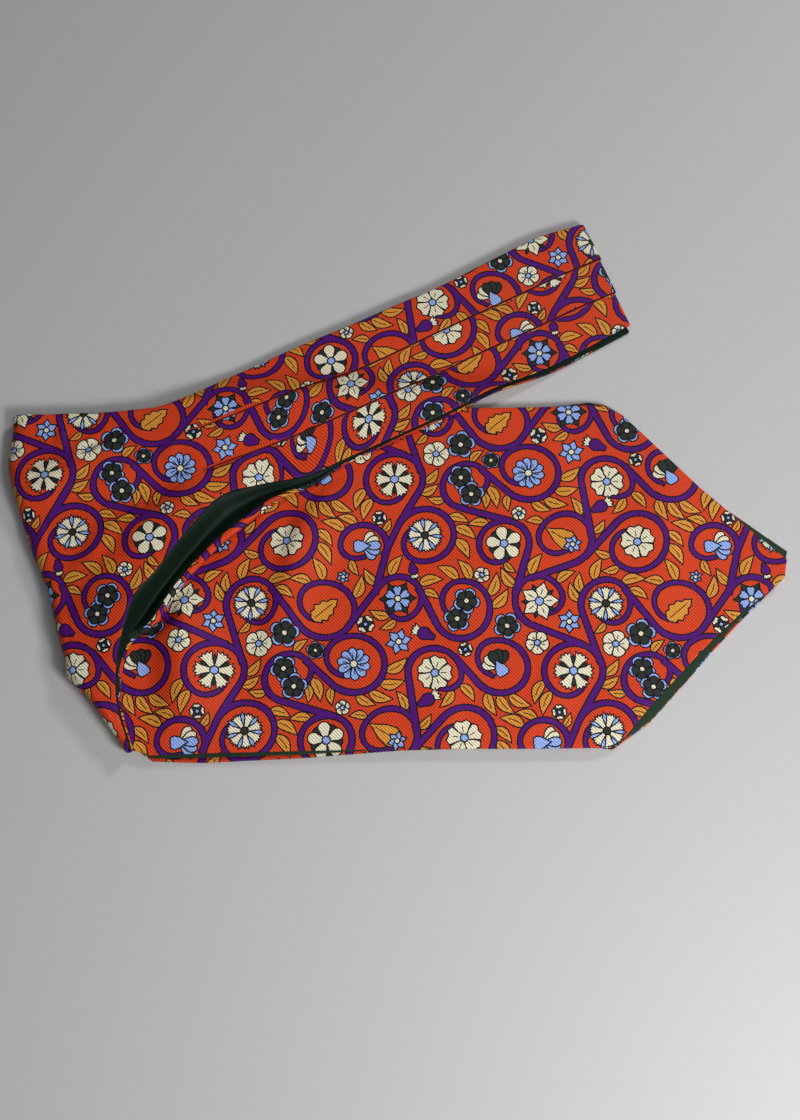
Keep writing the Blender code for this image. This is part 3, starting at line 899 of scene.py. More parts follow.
def printed_sheet(name, grid_and_cloth, wanted=None, floor=False, shaded=()):
    """A sheet over a grid with the design dyed into it: its faces are cut along the drawing.

    wanted says whether a place of the cloth shows, and so needs its drawing. shaded gives stretches
    of the grid that lie in a fold's shade and are dyed with painted shade: first and last row, and columns.
    """
    grid, cloth = grid_and_cloth
    chart = Chart(grid, grid_normals(grid), cloth)
    rows, columns = len(grid), len(grid[0])
    border = [(0, j) for j in range(columns - 1, -1, -1)]
    border += [(i, 0) for i in range(1, rows)]
    border += [(rows - 1, j) for j in range(1, columns)]
    border += [(i, columns - 1) for i in range(rows - 2, 0, -1)]
    border = left_round(border, cloth)
    outline = [cloth[i][j] for i, j in border]
    shapes = shapes_over(*extent(outline), wanted)
    within = [(i, j) for i in range(1, rows - 1) for j in range(1, columns - 1)]

    flat = [Vector(p) for p in outline] + [Vector(cloth[i][j]) for i, j in within]
    number = {key: k for k, key in enumerate(border + within)}
    regions = [list(range(len(border)))]
    for points, _ in shapes:
        regions.append(list(range(len(flat), len(flat) + len(points))))
        flat += [Vector(p) for p in points]
    # Strips in a fold's shade are dyed with painted shade, over the drawing.
    for first, last, left, right in shaded:
        strip = [(i, left) for i in range(first, last + 1)]
        strip += [(i, right) for i in range(last, first - 1, -1)]
        regions.append([number[key] for key in left_round(strip, cloth)])
        shapes.append((None, SHADE))
    bent = bent_edges(grid)
    front, sources = cut_cloth(flat, [(number[a], number[b]) for a, b in bent], regions, chart)
    dyes = [shapes[max(source) - 1][1] if max(source) else GROUND for source in sources]

    after = {a: b for a, b in rim_of(front.faces)}
    loop = [next(iter(after))]
    while after[loop[-1]] != loop[0]:
        loop.append(after[loop[-1]])
    flat = [Vector(front.cloth[index]) for index in loop]
    places = {tuple(place): index for index, place in enumerate(flat)}
    number = {(i, j): places[tuple(Vector(cloth[i][j]))] for i, j in border}
    for i, j in within:
        number[(i, j)] = len(flat)
        flat.append(Vector(cloth[i][j]))
    edges = [(number[a], number[b]) for a, b in bent]
    back, _ = cut_cloth(flat, edges, [list(range(len(loop)))], chart)
    places = {place: index for index, place in enumerate(back.cloth)}
    partner = {index: places[tuple(Vector(front.cloth[index]))] for index in loop}
    return sheet_object(name, front, back, partner, dyes, PRINTED, floor)


# ---- the outer half's band
PRINT_ACROSS = Vector((0.39, -0.92))    # direction in which the pleats hide cloth
EDGE_ROLL = 1.7                         # radius of the rolled top edge
LOW_ROLL = 0.5                          # and of the edge at the mouth
EDGE_RETURN = 3.0                       # cloth that goes back under the top edge
RETURN_PLACE = 3.86                     # place that the low edge's return reaches

# Folds of the dressed cloth over the CAD part's own.
FAN_FOLDS = (
    Fold(((-58, 2, 0), (-66, -2, 1.6), (-80, -12, 3.0), (-98, -36, 5.4), (-112, -60, 6.2), (-118, -86, 4.2),
          (-119, -106, 1.5)), 9, 36),                # along the mouth
    Fold(((-88, -1, 0), (-104, -6, -2.2), (-126, -11, -3.0), (-162, -23, -2.0)), 13, 11),  # behind it
    Fold(((-118, 15, 0.6), (-134, 8, 2.4), (-152, -2, 2.8), (-164, -8, 1.2)), 12, 12),
    Fold(((-152, 23, -0.6), (-140, 21, -2.0), (-124, 18.5, -0.5)), 3.4, 2.6),     # small sharp pinches
    Fold(((-150, 27, 0.5), (-149, 18, 1.5), (-147, 10, 0.3)), 2.5, 3.5),
    Fold(((-124, 22, -0.4), (-133, 16, -1.7), (-141, 11, -0.3)), 3.5, 3.0),
    Fold(((-99, 18, 0.2), (-98.8, 12, 1.3), (-100, 4, 0.2)), 3.5, 4.5),
    Fold(((-88, 3, -0.3), (-77, 7, -1.4), (-66, 11, -0.3)), 4.0, 5.0),
    Fold(((-146, -30, 0.2), (-154, -28, 1.4), (-163, -26, 1.0)), 5.0, 6.0),
    Fold(((-136, -75, 0.2), (-142, -71, 1.3), (-148, -66, 1.0)), 4.0, 5.0),
    Fold(((-120, -16, 0.2), (-132, -36, 1.8), (-146, -52, 0.3)), 6.0, 7.0),
    Fold(((-112, 6, 0.2), (-122, -2, 1.2), (-136, -8, 0.3)), 5.0, 6.0),
)
HOLLOW = 1.7            # depth that the fan's hollows ease off to
BLADE_FOLDS = (
    Fold(((-98, -48, 2.0), (-94, -70, 5.6), (-88, -96, 4.6), (-85, -112, 1.5)), 24, 18),  # at the mouth
    Fold(((-32, 0, 1.0), (-40, -24, 3.4), (-50, -60, 2.6), (-55, -90, 0.8)), 20, 9),
    Fold(((-64, -20, 0.5), (-74, -32, 1.5), (-83, -43, 0.5)), 12, 9),
    Fold(((18, -114, 0.5), (26, -90, 1.3), (36, -62, 0.3)), 16, 12),
    Fold(((60, -115, 0.6), (68, -96, 1.1), (77, -76, 0.3)), 12, 11),
    Fold(((70, 14, 0.5), (78, -8, 1.2), (87, -32, 0.3)), 16, 12),
    Fold(((123, 6, 0.3), (119, -26, 1.0), (115, -58, 0.3)), 18, 15),
)


SHADED_FROM, SHADED_TO = 1, 8    # parts of a pleat's fold that lie in its own shade, dyed with painted shade
SHADED_LAPS = 0.12               # laps from which a pleat has painted shade, and from which it is closed
LAPS_CLOSED = 0.3

# A crossing's parts: place, strip, shift when flat, shift when folded, drop when folded, cloth hidden.
Part = namedtuple("Part", "place strip flat folded drop hidden")


def pleat_parts(place, strip):
    """The fold under a pleat's edge: over the edge, back up beneath it, and out again."""
    shape = (
        (-0.5, -0.3, 0.0, 0.0), (-0.35, 0.08, 0.06, 0.03), (-0.2, 0.2, 0.25, 0.045),
        (-0.1, 0.12, 0.42, 0.06), (0.0, -0.1, 0.5, 0.08), (0.1, -1.6, 0.52, 0.3),
        (0.18, -1.75, 0.62, 0.5), (0.26, -1.6, 0.72, 0.7), (0.36, 0.75, 0.78, 0.9), (0.6, 1.15, 0.8, 1.0),
    )
    return [
        Part(place, strip, flat, folded, drop, strip + hidden)
        for flat, folded, drop, hidden in shape
    ]


def strip_parts(places, strip):
    return [Part(place, strip, 0.0, 0.0, 0.0, float(strip)) for place in places]


CROSSING = (
    strip_parts((0.14, 0.22, 0.32, 0.44, 0.56, 0.68, 0.78, 0.86, 0.93), 0)
    + pleat_parts(1.0, 0)
    + strip_parts((1.08, 1.16, 1.28, 1.4, 1.52, 1.64, 1.76, 1.86, 1.93), 1)
    + pleat_parts(2.0, 1)
    + strip_parts((2.1, 2.22, 2.36, 2.5, 2.64, 2.8, 2.95, 3.1, 3.25, 3.4, 3.55, 3.7, 3.8, 3.88), 2)
)


def crossing_points(station, place_point):
    """Points of one crossing and their cloth coordinates; place_point puts a plan point at a height."""
    laps = station.laps
    closed = smooth(laps / LAPS_CLOSED)
    tucked = HIDDEN_WIDTH * max(laps - LAPS_CLOSED, 0.0) / (1.0 - LAPS_CLOSED)
    points, cloth = [], []

    def keep(place, shift, cloth_shift, drop, hidden):
        spot = station.at(place) + station.across(place) * shift
        flat = station.at(place) + station.across(place) * cloth_shift
        flat += PRINT_ACROSS * tucked * hidden
        points.append(place_point(place, spot, shift, drop))
        cloth.append((flat.x, flat.y))

    roll = min(EDGE_ROLL, 0.22 * pile_top(station, 0.0))
    keep(0.0, roll + EDGE_RETURN, roll - pi * roll - EDGE_RETURN, 2 * roll, 0.0)
    for degrees in (-90, -60, -30, 0, 30, 60, 90):
        angle = radians(degrees)
        keep(0.0, roll - roll * cos(angle), roll - roll * (pi / 2 - angle), roll - roll * sin(angle), 0.0)
    for part in CROSSING:
        drop = laps * PLEAT_STEP * part.strip + part.drop * laps
        keep(part.place, lerp(part.flat, part.folded, closed), part.flat, drop, part.hidden)
    base = laps * PLEAT_STEP * 2
    for degrees in (90, 50, 10, -30, -90):
        angle = radians(degrees)
        keep(LOW, LOW_ROLL * (cos(angle) - 1), LOW_ROLL * (pi / 2 - angle - 1),
             base + LOW_ROLL - LOW_ROLL * sin(angle), 2.0)
    back = (station.at(LOW) - station.at(RETURN_PLACE)).length
    keep(RETURN_PLACE, 0.0, LOW_ROLL * (pi - 1) + 2 * back, base + 2 * LOW_ROLL + 0.1, 2.0)
    return points, cloth


def band_top(station, place):
    """Height of the topmost pleat's surface."""
    return pile_top(station, place) + fan_fold(station, place)


def fan_fold(station, place):
    """What the dressed folds add to the band; the hollows ease off before they reach the blade."""
    point = station.at(place)
    height = fold_height(FAN_FOLDS, point.x, point.y) * (1.0 - station.laps)
    return height if height > 0 else HOLLOW * (exp(height / HOLLOW) - 1.0)


def under_height(station, place):
    """Underside of the inner half's band, which follows the folds of the outer one."""
    point = station.at(place)
    lowest = band_support(point.x, point.y) + 0.1
    return max(band_height(station, place) + fan_fold(station, place), lowest)


def level_crossing(station):
    def place_point(place, spot, shift, drop):
        top = band_top(station, place)
        if shift < -1.0:        # the hidden part of a fold keeps under the cloth that it lies beneath
            top = min(top, band_top(station, place - 0.06), band_top(station, place - 0.12))
        return raised(spot, top - drop)

    return crossing_points(station, place_point)


# How far the left fold's edge stands out from the CAD part's, at places along it.
EDGE_WOBBLE = ((0.0, 0.4), (0.25, -0.6), (0.6, 0.0), (1.2, -1.8), (1.7, -1.2), (2.3, -2.8), (2.75, -2.6),
               (2.95, -1.8), (3.16, 1.6), (3.32, -1.6), (3.46, -1.9), (3.66, -0.9), (3.8, -0.6), (4.0, 0.0))


def edge_wobble(place):
    for (start, before), (end, after) in zip(EDGE_WOBBLE, EDGE_WOBBLE[1:]):
        if place <= end:
            return lerp(before, after, smooth((place - start) / (end - start)))
    return 0.0


def fold_crossing(station, edge, normals, reach, flat, turn, tail):
    """A crossing part of the way round an end fold: turn is 0 above to 1 below."""
    edge_line = Station(edge, edge[-1], 0.0, station.laps)
    normal_line = Station(normals, normals[-1], 0.0, 0.0)
    reaches = [Vector((value, 0.0)) for value in reach]
    returns = [Vector((value, 0.0)) for value in flat]
    angle = pi * turn

    def place_point(place, spot, shift, drop):
        square = normal_line.at(place).normalized()
        rim = edge_line.at(place) + edge_line.across(place) * shift
        wobble = edge_wobble(place) if edge is BAND.fold_edge else 0.0
        rim -= square * wobble
        depth = curve_through(reaches, place).x + CLOTH + min(wobble, 0.0)
        inset = depth * (1.0 - sin(angle)) + drop * sin(angle) + tail * curve_through(returns, place).x
        height = drop + (band_top(station, place) - 2 * drop) * (0.5 + 0.5 * cos(angle))
        return raised(rim + square * inset, height)

    return crossing_points(station, place_point)[0]


def continue_cloth(points, before, cloth, outward):
    """Cloth coordinates of the next crossing, as far on as its points are from those before."""
    result = []
    for point, old, (u, v), way in zip(points, before, cloth, outward):
        step = max((point - old).length, 0.05)
        result.append((u + way.x * step, v + way.y * step))
    return result


CROSSING_PLACES = [0.0] * 8 + [part.place for part in CROSSING] + [LOW] * 6


def end_fold(station, start, edge, normals, reach, flat):
    """Crossings round an end fold and their cloth, going away from the level stretch."""
    before, cloth = start
    normal_line = Station(normals, normals[-1], 0.0, 0.0)
    ways = [-normal_line.at(place).normalized() for place in CROSSING_PLACES]
    rows, cloths = [], []
    turns = [(k / (2 * FOLD_STEPS), 0.0) for k in range(1, 2 * FOLD_STEPS + 1)] + [(1.0, 0.5), (1.0, 1.0)]
    for turn, tail in turns:
        points = fold_crossing(station, edge, normals, reach, flat, turn, tail)
        cloth = continue_cloth(points, before, cloth, ways)
        rows.append(points)
        cloths.append(cloth)
        before = points
    return rows, cloths


def outer_band_cloth():
    stations = BAND.stations()
    level = [level_crossing(station) for station in stations]
    right = end_fold(stations[0], level[0], BAND.right_edge, BAND.in_right,
                     [RIGHT_REACH] * 5, [RIGHT_RETURN] * 5)
    left = end_fold(stations[-1], level[-1], BAND.fold_edge, BAND.in_left, LEFT_REACH, LEFT_RETURN)
    grid = right[0][::-1] + [points for points, cloth in level] + left[0]
    cloth = right[1][::-1] + [cloth for points, cloth in level] + left[1]
    return grid, cloth


# ---- the inner half's band, in the mouth
UNDER_PLACES = tuple(0.12 + 0.14 * k for k in range(28))     # places under the outer half's band
MOUTH_SHARES = (0.0, 0.12, 0.24, 0.36, 0.46, 0.54, 0.60, 0.68, 0.78, 0.88, 1.0)     # and in the mouth
CREVICE = 0.54          # the deepest place in the mouth
LINING_SHOWS = 0.4      # how far the closed lip stands out at the band's end, and further in
SEAM_SHOWS = -0.5
LINING_TOP = 2 * CLOTH + GAP


def open_share(station):
    return smooth((station.lip - station.at(LOW)).length / MOUTH_OPEN)


END_FROM, END_OVER = 38.0, 32.0     # stretch of x over which the band's right end begins


def near_end(station):
    """1 towards the band's right end, where the lining shows past the seam, and 0 further in."""
    return smooth((station.lip.x - END_FROM) / END_OVER)


def lip_point(station):
    """The lip, a little further out where the mouth is closed, so that the lining shows."""
    outward = station.outward()
    shows = lerp(-0.7, lerp(SEAM_SHOWS, LINING_SHOWS, near_end(station)), smooth(station.laps / 0.5))
    return station.lip + outward * shows * (1.0 - open_share(station))


def lip_height(station):
    """Underside of the lip."""
    return band_support(station.lip.x, station.lip.y) + LIP_RISE * open_share(station)


def mouth_height(station, share):
    """Top of the lining between the outer edge (0) and the lip (1)."""
    spot = station.at(LOW).lerp(lip_point(station), share)
    edge_top = under_height(station, LOW) + LINING_TOP
    lip_top = lip_height(station) + LINING_TOP
    straight = lerp(edge_top, lip_top, share)
    floor_height = band_support(spot.x, spot.y) + 3 * SILK
    if share < CREVICE:
        depth = smooth(share / CREVICE) ** 1.3
    else:
        depth = smooth((1.0 - share) / (1.0 - CREVICE)) ** 0.8
    ripple = 0.5 * sin(0.55 * spot.x - 0.2 * spot.y) + 0.4 * sin(0.21 * spot.x + 0.47 * spot.y + 1.0)
    ripple *= sin(pi * share) * open_share(station)
    return lerp(straight, floor_height, depth * open_share(station)) + ripple * (1.0 - depth)


def mouth_underside(station, share):
    """Printed side beneath the lining, which stays above what it lies on."""
    spot = station.at(LOW).lerp(lip_point(station), share)
    return max(mouth_height(station, share) - LINING_TOP, band_support(spot.x, spot.y) + 0.1)


def inner_line(station, rise, mouth_top):
    """One crossing of the inner half, under the band and in the mouth, and its places on the plan."""
    flat = [station.at(place) for place in UNDER_PLACES]
    line = [raised(at, under_height(station, place) + rise) for at, place in zip(flat, UNDER_PLACES)]
    for share in MOUTH_SHARES:
        spot = station.at(LOW).lerp(lip_point(station), share)
        line.append(raised(spot, mouth_top(station, share)))
        flat.append(spot)
    return line, flat


HEM_REACH = 0.35        # how far the lining's edge stands past the closed mouth's rim
HEM_DROP = 1.0          # and how far it hangs down over it


def band_lining_cloth():
    grid, cloth = [], []
    for number, station in enumerate(BAND.stations()):
        line, flat = inner_line(station, LINING_TOP, mouth_height)
        outward = station.outward()
        closed = 1.0 - open_share(station)
        beyond = lip_point(station) + outward * (HEM_REACH * closed * near_end(station) + 0.05)
        hang = lerp(0.3, HEM_DROP, near_end(station))
        drop = closed * lerp(hang, LINING_TOP - 0.2, smooth(1.0 - number / (4 * BAND_STEPS)))
        line.append(raised(beyond, lip_height(station) + LINING_TOP - drop))
        flat.append(beyond + outward * drop)
        grid.append(line)
        cloth.append([(p.x, p.y) for p in flat])
    return grid, cloth


RIM_ARC = (-90, -50, -10, 30, 65, 90)


def inner_band_cloth():
    """Print side down, rolled up past the lip; the columns run from the rim's end inwards."""
    grid, cloth = [], []
    for number, station in enumerate(BAND.stations(first=1)):
        line, flat = inner_line(station, 0.0, mouth_underside)
        outward = station.outward()
        lip = lip_point(station)
        narrow = NARROW_RIM * max(smooth(number / (3 * BAND_STEPS)), 0.25)
        width = lerp(narrow, RIM, open_share(station))
        support = band_support(station.lip.x, station.lip.y) + 0.05
        lip_top = lip_height(station) + LINING_TOP - SILK
        half = (lip_top - support) / 2
        flare = min(0.6 * width, half)
        reach = 0.0
        for degrees in RIM_ARC:
            angle = radians(degrees)
            spot = lip + outward * (width - flare + flare * cos(angle))
            line.append(raised(spot, support + half + half * sin(angle)))
        tuck = 0.5 / max((lip - station.at(LOW)).length, 0.5)
        line.append(raised(lip - outward * 0.5, mouth_height(station, 1.0 - tuck) - 2 * SILK))
        for k in range(len(flat), len(line)):
            reach += (line[k] - line[k - 1]).length
            flat.append(lip + outward * reach)
        grid.append(line[::-1])
        cloth.append([(-p.x, p.y) for p in flat[::-1]])
    return grid, cloth


# ---- the blades
EDGE_INSETS = (0.0, 0.1, 0.3, 0.7, 1.4, 2.6)    # the closer points along a blade's edges
BLADE_CELLS = 48                                # points across between them


def fold_line(depth):
    """Points along the left fold: depth 0 at its edge, 1 where its curve ends, 2 past its return."""
    edge = BAND.fold_edge
    line = []
    for point, normal, reach, flat in zip(edge, BAND.in_left, LEFT_REACH, LEFT_RETURN):
        inset = CLOTH + reach * min(depth, 1.0) + (flat + GAP) * max(depth - 1.0, 0.0)
        line.append(point + normal * inset)
    return line


def blade_rows(left_line, reaches):
    """Ends of the blade's crossings, from the left fold to the point, close together.

    reaches gives how far a row reaches past its low and its high end.
    """
    ends = [(left_line[-1], left_line[0])]
    for row in BLADE_ROWS:
        low, high = Vector(row.low), Vector(row.high)
        across = (high - low).normalized()
        low_reach, high_reach = reaches(row)
        ends.append((low - across * low_reach, high + across * high_reach))
    dense = []
    for before, after in zip(ends, ends[1:]):
        length = max((after[0] - before[0]).length, (after[1] - before[1]).length)
        steps = max(int(length / CELL), 1)
        for step in range(steps):
            share = step / steps
            dense.append((before[0].lerp(after[0], share), before[1].lerp(after[1], share)))
    last_low, last_high = ends[-1]
    back_low, back_high = dense[-1]
    for inset in EDGE_INSETS[-2:0:-1]:
        share = inset / (last_low - back_low).length
        if share < 1.0:
            dense.append((last_low.lerp(back_low, share), last_high.lerp(back_high, share)))
    dense.append((last_low, last_high))
    return dense


def blade_cloth(left_line, reaches, height):
    """Grid of a blade; height gives the top from the plan point and the distance to the edge."""
    rows = blade_rows(left_line, reaches)
    tip = (rows[-1][0] + rows[-1][1]) / 2
    inland = ((rows[0][0] + rows[0][1]) / 2 - tip).normalized()
    curve = [Vector(point) for point in left_line]
    grid, cloth = [], []
    for number, (low, high) in enumerate(rows):
        width = (high - low).length
        shares = [inset / width for inset in EDGE_INSETS]
        first, last = shares[-1], 1.0 - shares[-1]
        middle = [lerp(first, last, k / BLADE_CELLS) for k in range(1, BLADE_CELLS)]
        shares += middle + [1.0 - share for share in shares[::-1]]
        line, flat = [], []
        for share in shares:
            spot = low.lerp(high, share)
            if number == 0:
                spot = curve_through(curve, (len(curve) - 1) * (1.0 - share))
            from_tip = (spot - tip).dot(inland)
            inset = min(share * width, (1.0 - share) * width, max(from_tip, 0.0))
            line.append(raised(spot, height(spot, inset)))
            flat.append((spot.x, spot.y))
        grid.append(line)
        cloth.append(flat)
    return grid, cloth


def rolled(inset, radius):
    """How far a rolled edge has dropped at a distance from it."""
    if inset >= radius:
        return 0.0
    return radius - (radius ** 2 - (radius - inset) ** 2) ** 0.5


def mouth_side(point):
    """Signed distance, roughly, of a place from the lip: positive on the open blade."""
    nearest = None
    for row in BAND_ROWS:
        lip, edge = Vector(row.lip), Vector(row.low)
        offset = point - lip
        if nearest is None or offset.length < nearest[0]:
            nearest = (offset.length, offset.dot((lip - edge).normalized()))
    return nearest[1]


TOP_ROLL = 0.9          # radius of the top blade's rolled edge, and of the lining's
LINING_ROLL = 0.6


def top_blade_height(spot, inset):
    clear = smooth((mouth_side(spot) - RIM - BLADE_CLEAR) / BLADE_EASE)
    rise = max(fold_height(BLADE_CREASES, spot.x, spot.y), 0.0) * clear
    near = smooth((mouth_side(spot) - RIM) / 5.0) * smooth(inset / 12.0)
    rise += fold_height(BLADE_FOLDS, spot.x, spot.y) * near
    return BLADE_Z + CLOTH + rise - rolled(inset, TOP_ROLL)


def bottom_lining_height(spot, inset):
    pucker = 0.12 * sin(spot.x * 1.3 + spot.y * 0.4) * smooth(1.0 - inset / 5.0)
    return LINING_Z + CLOTH + pucker - rolled(inset, LINING_ROLL)


RIDGE = 0.9             # height and width of the bottom blade's rolled edge


def bottom_blade_height(spot, inset):
    """It stands up only along its edge, so the place doesn't matter."""
    if inset < RIDGE:
        return CLOTH + RIDGE - rolled(inset, RIDGE)
    return CLOTH + RIDGE * (1.0 - smooth((inset - RIDGE) / RIDGE))


# ---- finishes
class Wire:
    """A number in a finish; arithmetic on it adds the Math nodes."""

    def __init__(self, finish, socket):
        self.finish = finish
        self.socket = socket

    def _math(self, operation, *values):
        return self.finish.add("ShaderNodeMath", {"operation": operation}, dict(enumerate(values)))

    def __add__(self, other):
        return self._math("ADD", self, other)

    def __mul__(self, other):
        return self._math("MULTIPLY", self, other)

    def __sub__(self, other):
        return self._math("SUBTRACT", self, other)

    def __rsub__(self, other):
        return self._math("SUBTRACT", other, self)

    __radd__ = __add__
    __rmul__ = __mul__

    def sine(self):
        return self._math("SINE", self)


class Finish:
    """A material and its nodes."""

    def __init__(self, name, **constants):
        self.material = bpy.data.materials.new(name)
        self.material.use_nodes = True
        self.tree = self.material.node_tree
        self.shader = self.tree.nodes["Principled BSDF"]
        for socket, value in constants.items():
            self.shader.inputs[socket.replace("_", " ")].default_value = value

    def add(self, kind, settings, inputs, output=0):
        node = self.tree.nodes.new(kind)
        for key, value in settings.items():
            setattr(node, key, value)
        for key, value in inputs.items():
            if isinstance(value, Wire):
                self.tree.links.new(value.socket, node.inputs[key])
            else:
                node.inputs[key].default_value = value
        return Wire(self, node.outputs[output])

    def feed(self, socket, wire):
        self.tree.links.new(wire.socket, self.shader.inputs[socket])

    def mixed(self, blend, factor, first, second):
        """Mix of two colours."""
        settings = {"data_type": "RGBA", "blend_type": blend}
        return self.add("ShaderNodeMix", settings, {0: factor, 6: first, 7: second}, 2)

    def grey(self, wire):
        """A number as a grey colour."""
        return self.add("ShaderNodeCombineColor", {}, {0: wire, 1: wire, 2: wire})

    def noise(self, spot, scale, detail):
        return self.add("ShaderNodeTexNoise", {}, {"Vector": spot, "Scale": scale, "Detail": detail})

    def feed_bump(self, height, strength, distance):
        inputs = {"Height": height, "Strength": strength, "Distance": distance}
        self.feed("Normal", self.add("ShaderNodeBump", {}, inputs))

    def cloth_place(self):
        """The place on the flat cloth, in metres."""
        return self.add("ShaderNodeUVMap", {"uv_map": "cloth"}, {})


TWILL_PITCH = 1.06      # from one rib of the twill to the next, and from one fine thread to the next
THREAD_PITCH = 0.5
DIAGONAL = 0.7071       # the ribs run at 45 degrees to the cloth's edges


def printed_silk():
    finish = Finish("printed_twill_silk", Specular_IOR_Level=0.15)
    spot = finish.cloth_place()
    along = finish.add("ShaderNodeSeparateXYZ", {}, {0: spot})
    across = Wire(finish, along.socket.node.outputs[1])
    u, v = along * 1000.0, across * 1000.0      # millimetres
    dye = finish.add("ShaderNodeAttribute", {"attribute_name": "dye"}, {})
    wander = finish.noise(spot, 90.0, 2.0)
    phase = (u + v) * (2 * pi / TWILL_PITCH * DIAGONAL) + wander * 1.6
    rib = phase.sine() * 0.5 + 0.5
    threads = (u - v) * (2 * pi / THREAD_PITCH * DIAGONAL)
    fine = threads.sine() * 0.5 + 0.5
    cloud = finish.noise(spot, 22.0, 3.0)
    speck = finish.noise(spot, 1400.0, 1.0)
    shade = rib * 0.76 + 0.57 + (cloud - 0.5) * 0.24 + (speck - 0.5) * 0.34
    finish.feed("Base Color", finish.mixed("MULTIPLY", 1.0, dye, finish.grey(shade)))
    finish.feed("Roughness", cloud * 0.10 + rib * 0.08 + 0.42)
    finish.feed_bump(rib * 0.8 + fine * 0.2, 0.35, 0.00025)
    return finish.material


def lining_satin(name, green):
    finish = Finish(name, Specular_IOR_Level=0.10)
    spot = finish.cloth_place()
    cloud = finish.noise(spot, 30.0, 3.0)
    stretched = finish.add("ShaderNodeMapping", {}, {"Vector": spot, "Scale": (300.0, 3000.0, 1.0)})
    thread = finish.noise(stretched, 1.0, 1.0)
    shade = thread * 0.5 + cloud * 0.5 + 0.5
    finish.feed("Base Color", finish.mixed("MULTIPLY", 1.0, finish.grey(shade), green))
    finish.feed("Roughness", cloud * 0.12 + 0.46)
    finish.feed_bump(thread, 0.25, 0.0002)
    return finish.material


PRINTED = printed_silk()
SATIN = lining_satin("green_lining_satin", (0.020, 0.042, 0.022, 1.0))
# The same green satin, darker: painted shade for the lining inside the mouth.
MOUTH_SHADE_SATIN = lining_satin("mouth_shade_green_satin", (0.0042, 0.0130, 0.0070, 1.0))


# ---- the pieces
PRINT_MARGIN = 9.0      # how far the drawing goes on past what shows


def near_mouth(point):
    """Whether a place on the top blade's cloth shows, or nearly."""
    return mouth_side(Vector(point)) > -PRINT_MARGIN


def near_rim(point):
    """The same for the inner half's band, whose cloth is mirrored."""
    return abs(mouth_side(Vector((-point[0], point[1])))) < PRINT_MARGIN


def near_blade_edge(point):
    """Whether a place is close enough to the bottom blade's edge to show."""
    x, y = point
    if x > 90.0:
        low = lerp(-120.0, -45.0, (x - 90.0) / 80.0)
        high = lerp(35.0, -33.0, (x - 100.0) / 72.0) if x > 100.0 else 35.0
        return y < low + 14.0 or y > high - 12.0
    return y < -112.0 or y > 26.0


def pleat_shades():
    """The stretches of the outer band's grid that lie in the shade of a pleat's edge, where the ground is
    dyed with painted shade.
    """
    folded = 2 * FOLD_STEPS + 2
    closed = sum(1 for station in BAND.stations() if station.laps > SHADED_LAPS)
    result = []
    for pleat in (1.0, 2.0):
        first = 8 + [part.place for part in CROSSING].index(pleat)
        result.append((1, folded + closed, first + SHADED_FROM, first + SHADED_TO))
    return result


outer_band = printed_sheet("outer_band_cloth", outer_band_cloth(), shaded=pleat_shades())
# The mouth's lining takes the satin darkened as painted shade.
band_lining = plain_sheet("band_lining_cloth", band_lining_cloth(), MOUTH_SHADE_SATIN)
inner_band = printed_sheet("inner_band_cloth", inner_band_cloth(), wanted=near_rim)
top_blade = printed_sheet(
    "top_blade_cloth",
    blade_cloth(fold_line(1.0), lambda row: (0.0, 0.0), top_blade_height),
    wanted=near_mouth,
)
bottom_lining = plain_sheet(
    "bottom_lining_cloth",
    blade_cloth(fold_line(2.0), lambda row: (row.green_low, row.green_high), bottom_lining_height),
    SATIN,
)
bottom_blade = printed_sheet(
    "bottom_blade_cloth",
    blade_cloth(
        fold_line(2.0),
        lambda row: (row.green_low + row.rim_low, row.green_high + row.rim_high),
        bottom_blade_height,
    ),
    wanted=near_blade_edge,
    floor=True,
)

# Heights up the side of the hidden layers, as shares, and how far each is drawn in.
LAYER_PROFILE = ((0.0, 0.35), (0.06, 0.05), (0.14, 0.0), (0.24, 0.05), (0.32, 0.6), (0.40, 0.1),
                 (0.5, 0.0), (0.60, 0.1), (0.68, 0.6), (0.76, 0.05), (0.86, 0.0), (0.94, 0.05), (1.0, 0.35))


def hidden_folds():
    """The layers between the blades: one body whose side shows three rounded edges."""
    line = fold_line(HIDDEN_DEPTH)
    rows = blade_rows(line, lambda row: (-HIDDEN_INSET, -HIDDEN_INSET))
    ring = [low for low, high in rows] + [high for low, high in reversed(rows)]
    ring += [curve_through(line, k * 0.5) for k in range(1, 8)]
    middle = sum(ring, Vector((0.0, 0.0))) / len(ring)
    count, levels = len(ring), len(LAYER_PROFILE)
    points = [
        raised(p + (middle - p).normalized() * pull * 1.5, HIDDEN_Z + HIDDEN * share)
        for share, pull in LAYER_PROFILE for p in ring
    ]
    faces = []
    for i in range(levels - 1):
        for k in range(count):
            a, b = i * count + k, i * count + (k + 1) % count
            faces.append((a, b, b + count, a + count))
    faces.append(tuple(range(count))[::-1])
    faces.append(tuple((levels - 1) * count + k for k in range(count)))
    mesh = new_mesh("hidden_folds_cloth", points, faces, SATIN)
    uv = mesh.uv_layers.new(name="cloth")
    for loop in mesh.loops:
        place = mesh.vertices[loop.vertex_index].co
        uv.data[loop.index].uv = (place.x, place.y + place.z)
    return in_scene("hidden_folds_cloth", mesh)


hidden = hidden_folds()

for piece, node, slot in (
    (outer_band, "outer_band", "print"),
    (band_lining, "inner_lining", "lining"),
    (inner_band, "inner_band", "print"),
    (top_blade, "top_blade", "print"),
    (bottom_lining, "bottom_lining", "lining"),
    (bottom_blade, "bottom_blade", "print"),
    (hidden, "folded_layers", "lining"),
):
    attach(piece, "root")
    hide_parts(node)

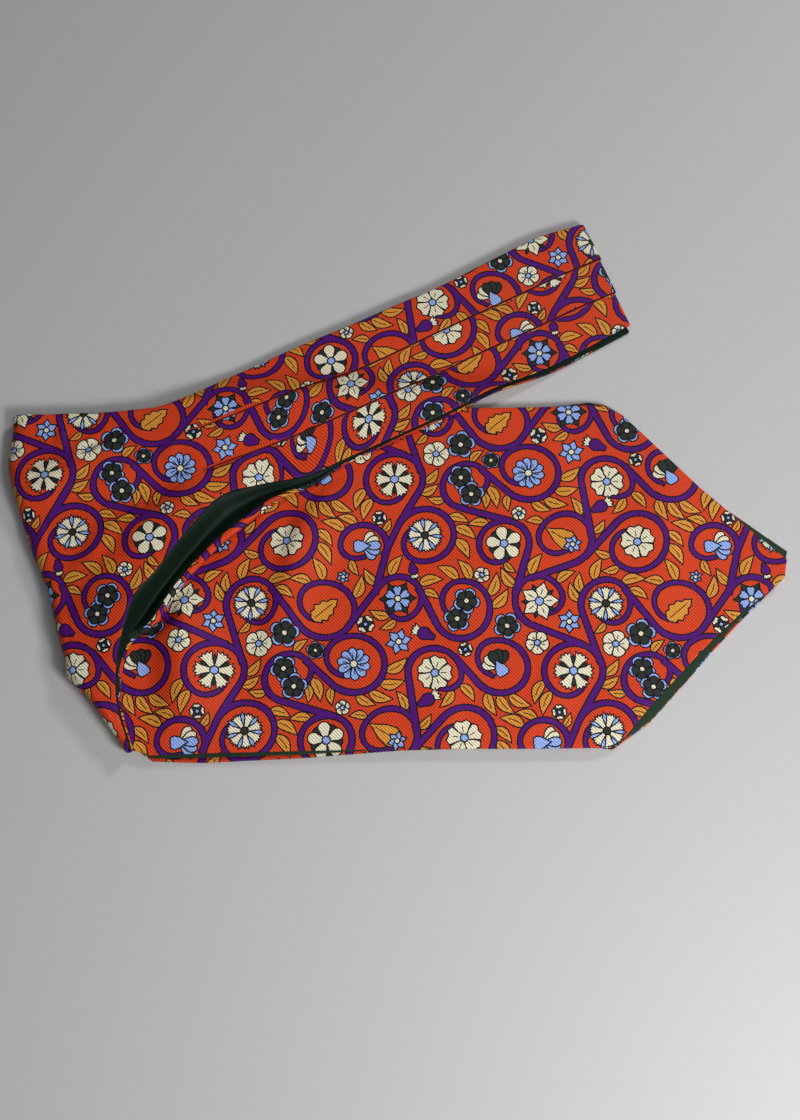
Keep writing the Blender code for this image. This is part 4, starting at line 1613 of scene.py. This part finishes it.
# ---- table, light and camera
TABLE = 4.0             # lengths from here on are metres
bpy.ops.mesh.primitive_plane_add(size=TABLE, location=(0.0, 0.0, 0.0))
table = bpy.context.object
table.name = "table_top"
finish = Finish("pale_table", Roughness=0.5, Specular_IOR_Level=0.4)
spot = finish.add("ShaderNodeTexCoord", {}, {}, 3)
grain = finish.add("ShaderNodeTexNoise", {}, {"Vector": spot, "Scale": 900.0, "Detail": 2.0})
finish.feed("Base Color", finish.mixed("MIX", grain, (0.50, 0.50, 0.495, 1.0), (0.56, 0.56, 0.555, 1.0)))
table.data.materials.append(finish.material)
table.select_set(False)
table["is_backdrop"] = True

TARGET = Vector((0.002835, -0.035678, 0.0))
TILT = radians(15.0)
DISTANCE = 0.65


def lamp(name, place, aim, size, power):
    data = bpy.data.lights.new(name, "AREA")
    data.shape = "SQUARE"
    data.size = size
    data.energy = power
    thing = in_scene(name, data)
    thing.location = place
    thing.rotation_euler = (Vector(aim) - Vector(place)).to_track_quat("-Z", "Y").to_euler()


lamp("key_light", (0.42, -0.46, 0.56), (0.02, -0.04, 0.0), 0.22, 4.7)
lamp("side_light", (0.9, 1.1, 1.1), (0.0, 0.0, 0.0), 0.30, 9.0)
lamp("overhead_light", (0.3, -0.35, 1.2), (0.0, 0.0, 0.0), 0.8, 2.6)

world = bpy.data.worlds.new("studio")
bpy.context.scene.world = world
world.use_nodes = True
background = world.node_tree.nodes["Background"]
background.inputs["Color"].default_value = (0.95, 0.97, 1.0, 1.0)
background.inputs["Strength"].default_value = 0.09
bpy.context.scene.view_settings.view_transform = "Standard"

lens = bpy.data.cameras.new("camera")
lens.lens = 47.0
lens.sensor_width = 36.0
lens.clip_start = 0.01
camera = in_scene("camera", lens)
camera.location = TARGET + DISTANCE * Vector((0.0, -sin(TILT), cos(TILT)))
camera.rotation_euler = (TILT, 0.0, 0.0)
bpy.context.scene.camera = camera

boxes = {"cad": cad_box, "visual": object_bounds()}
{key: [list(corner) for corner in box] for key, box in boxes.items()}
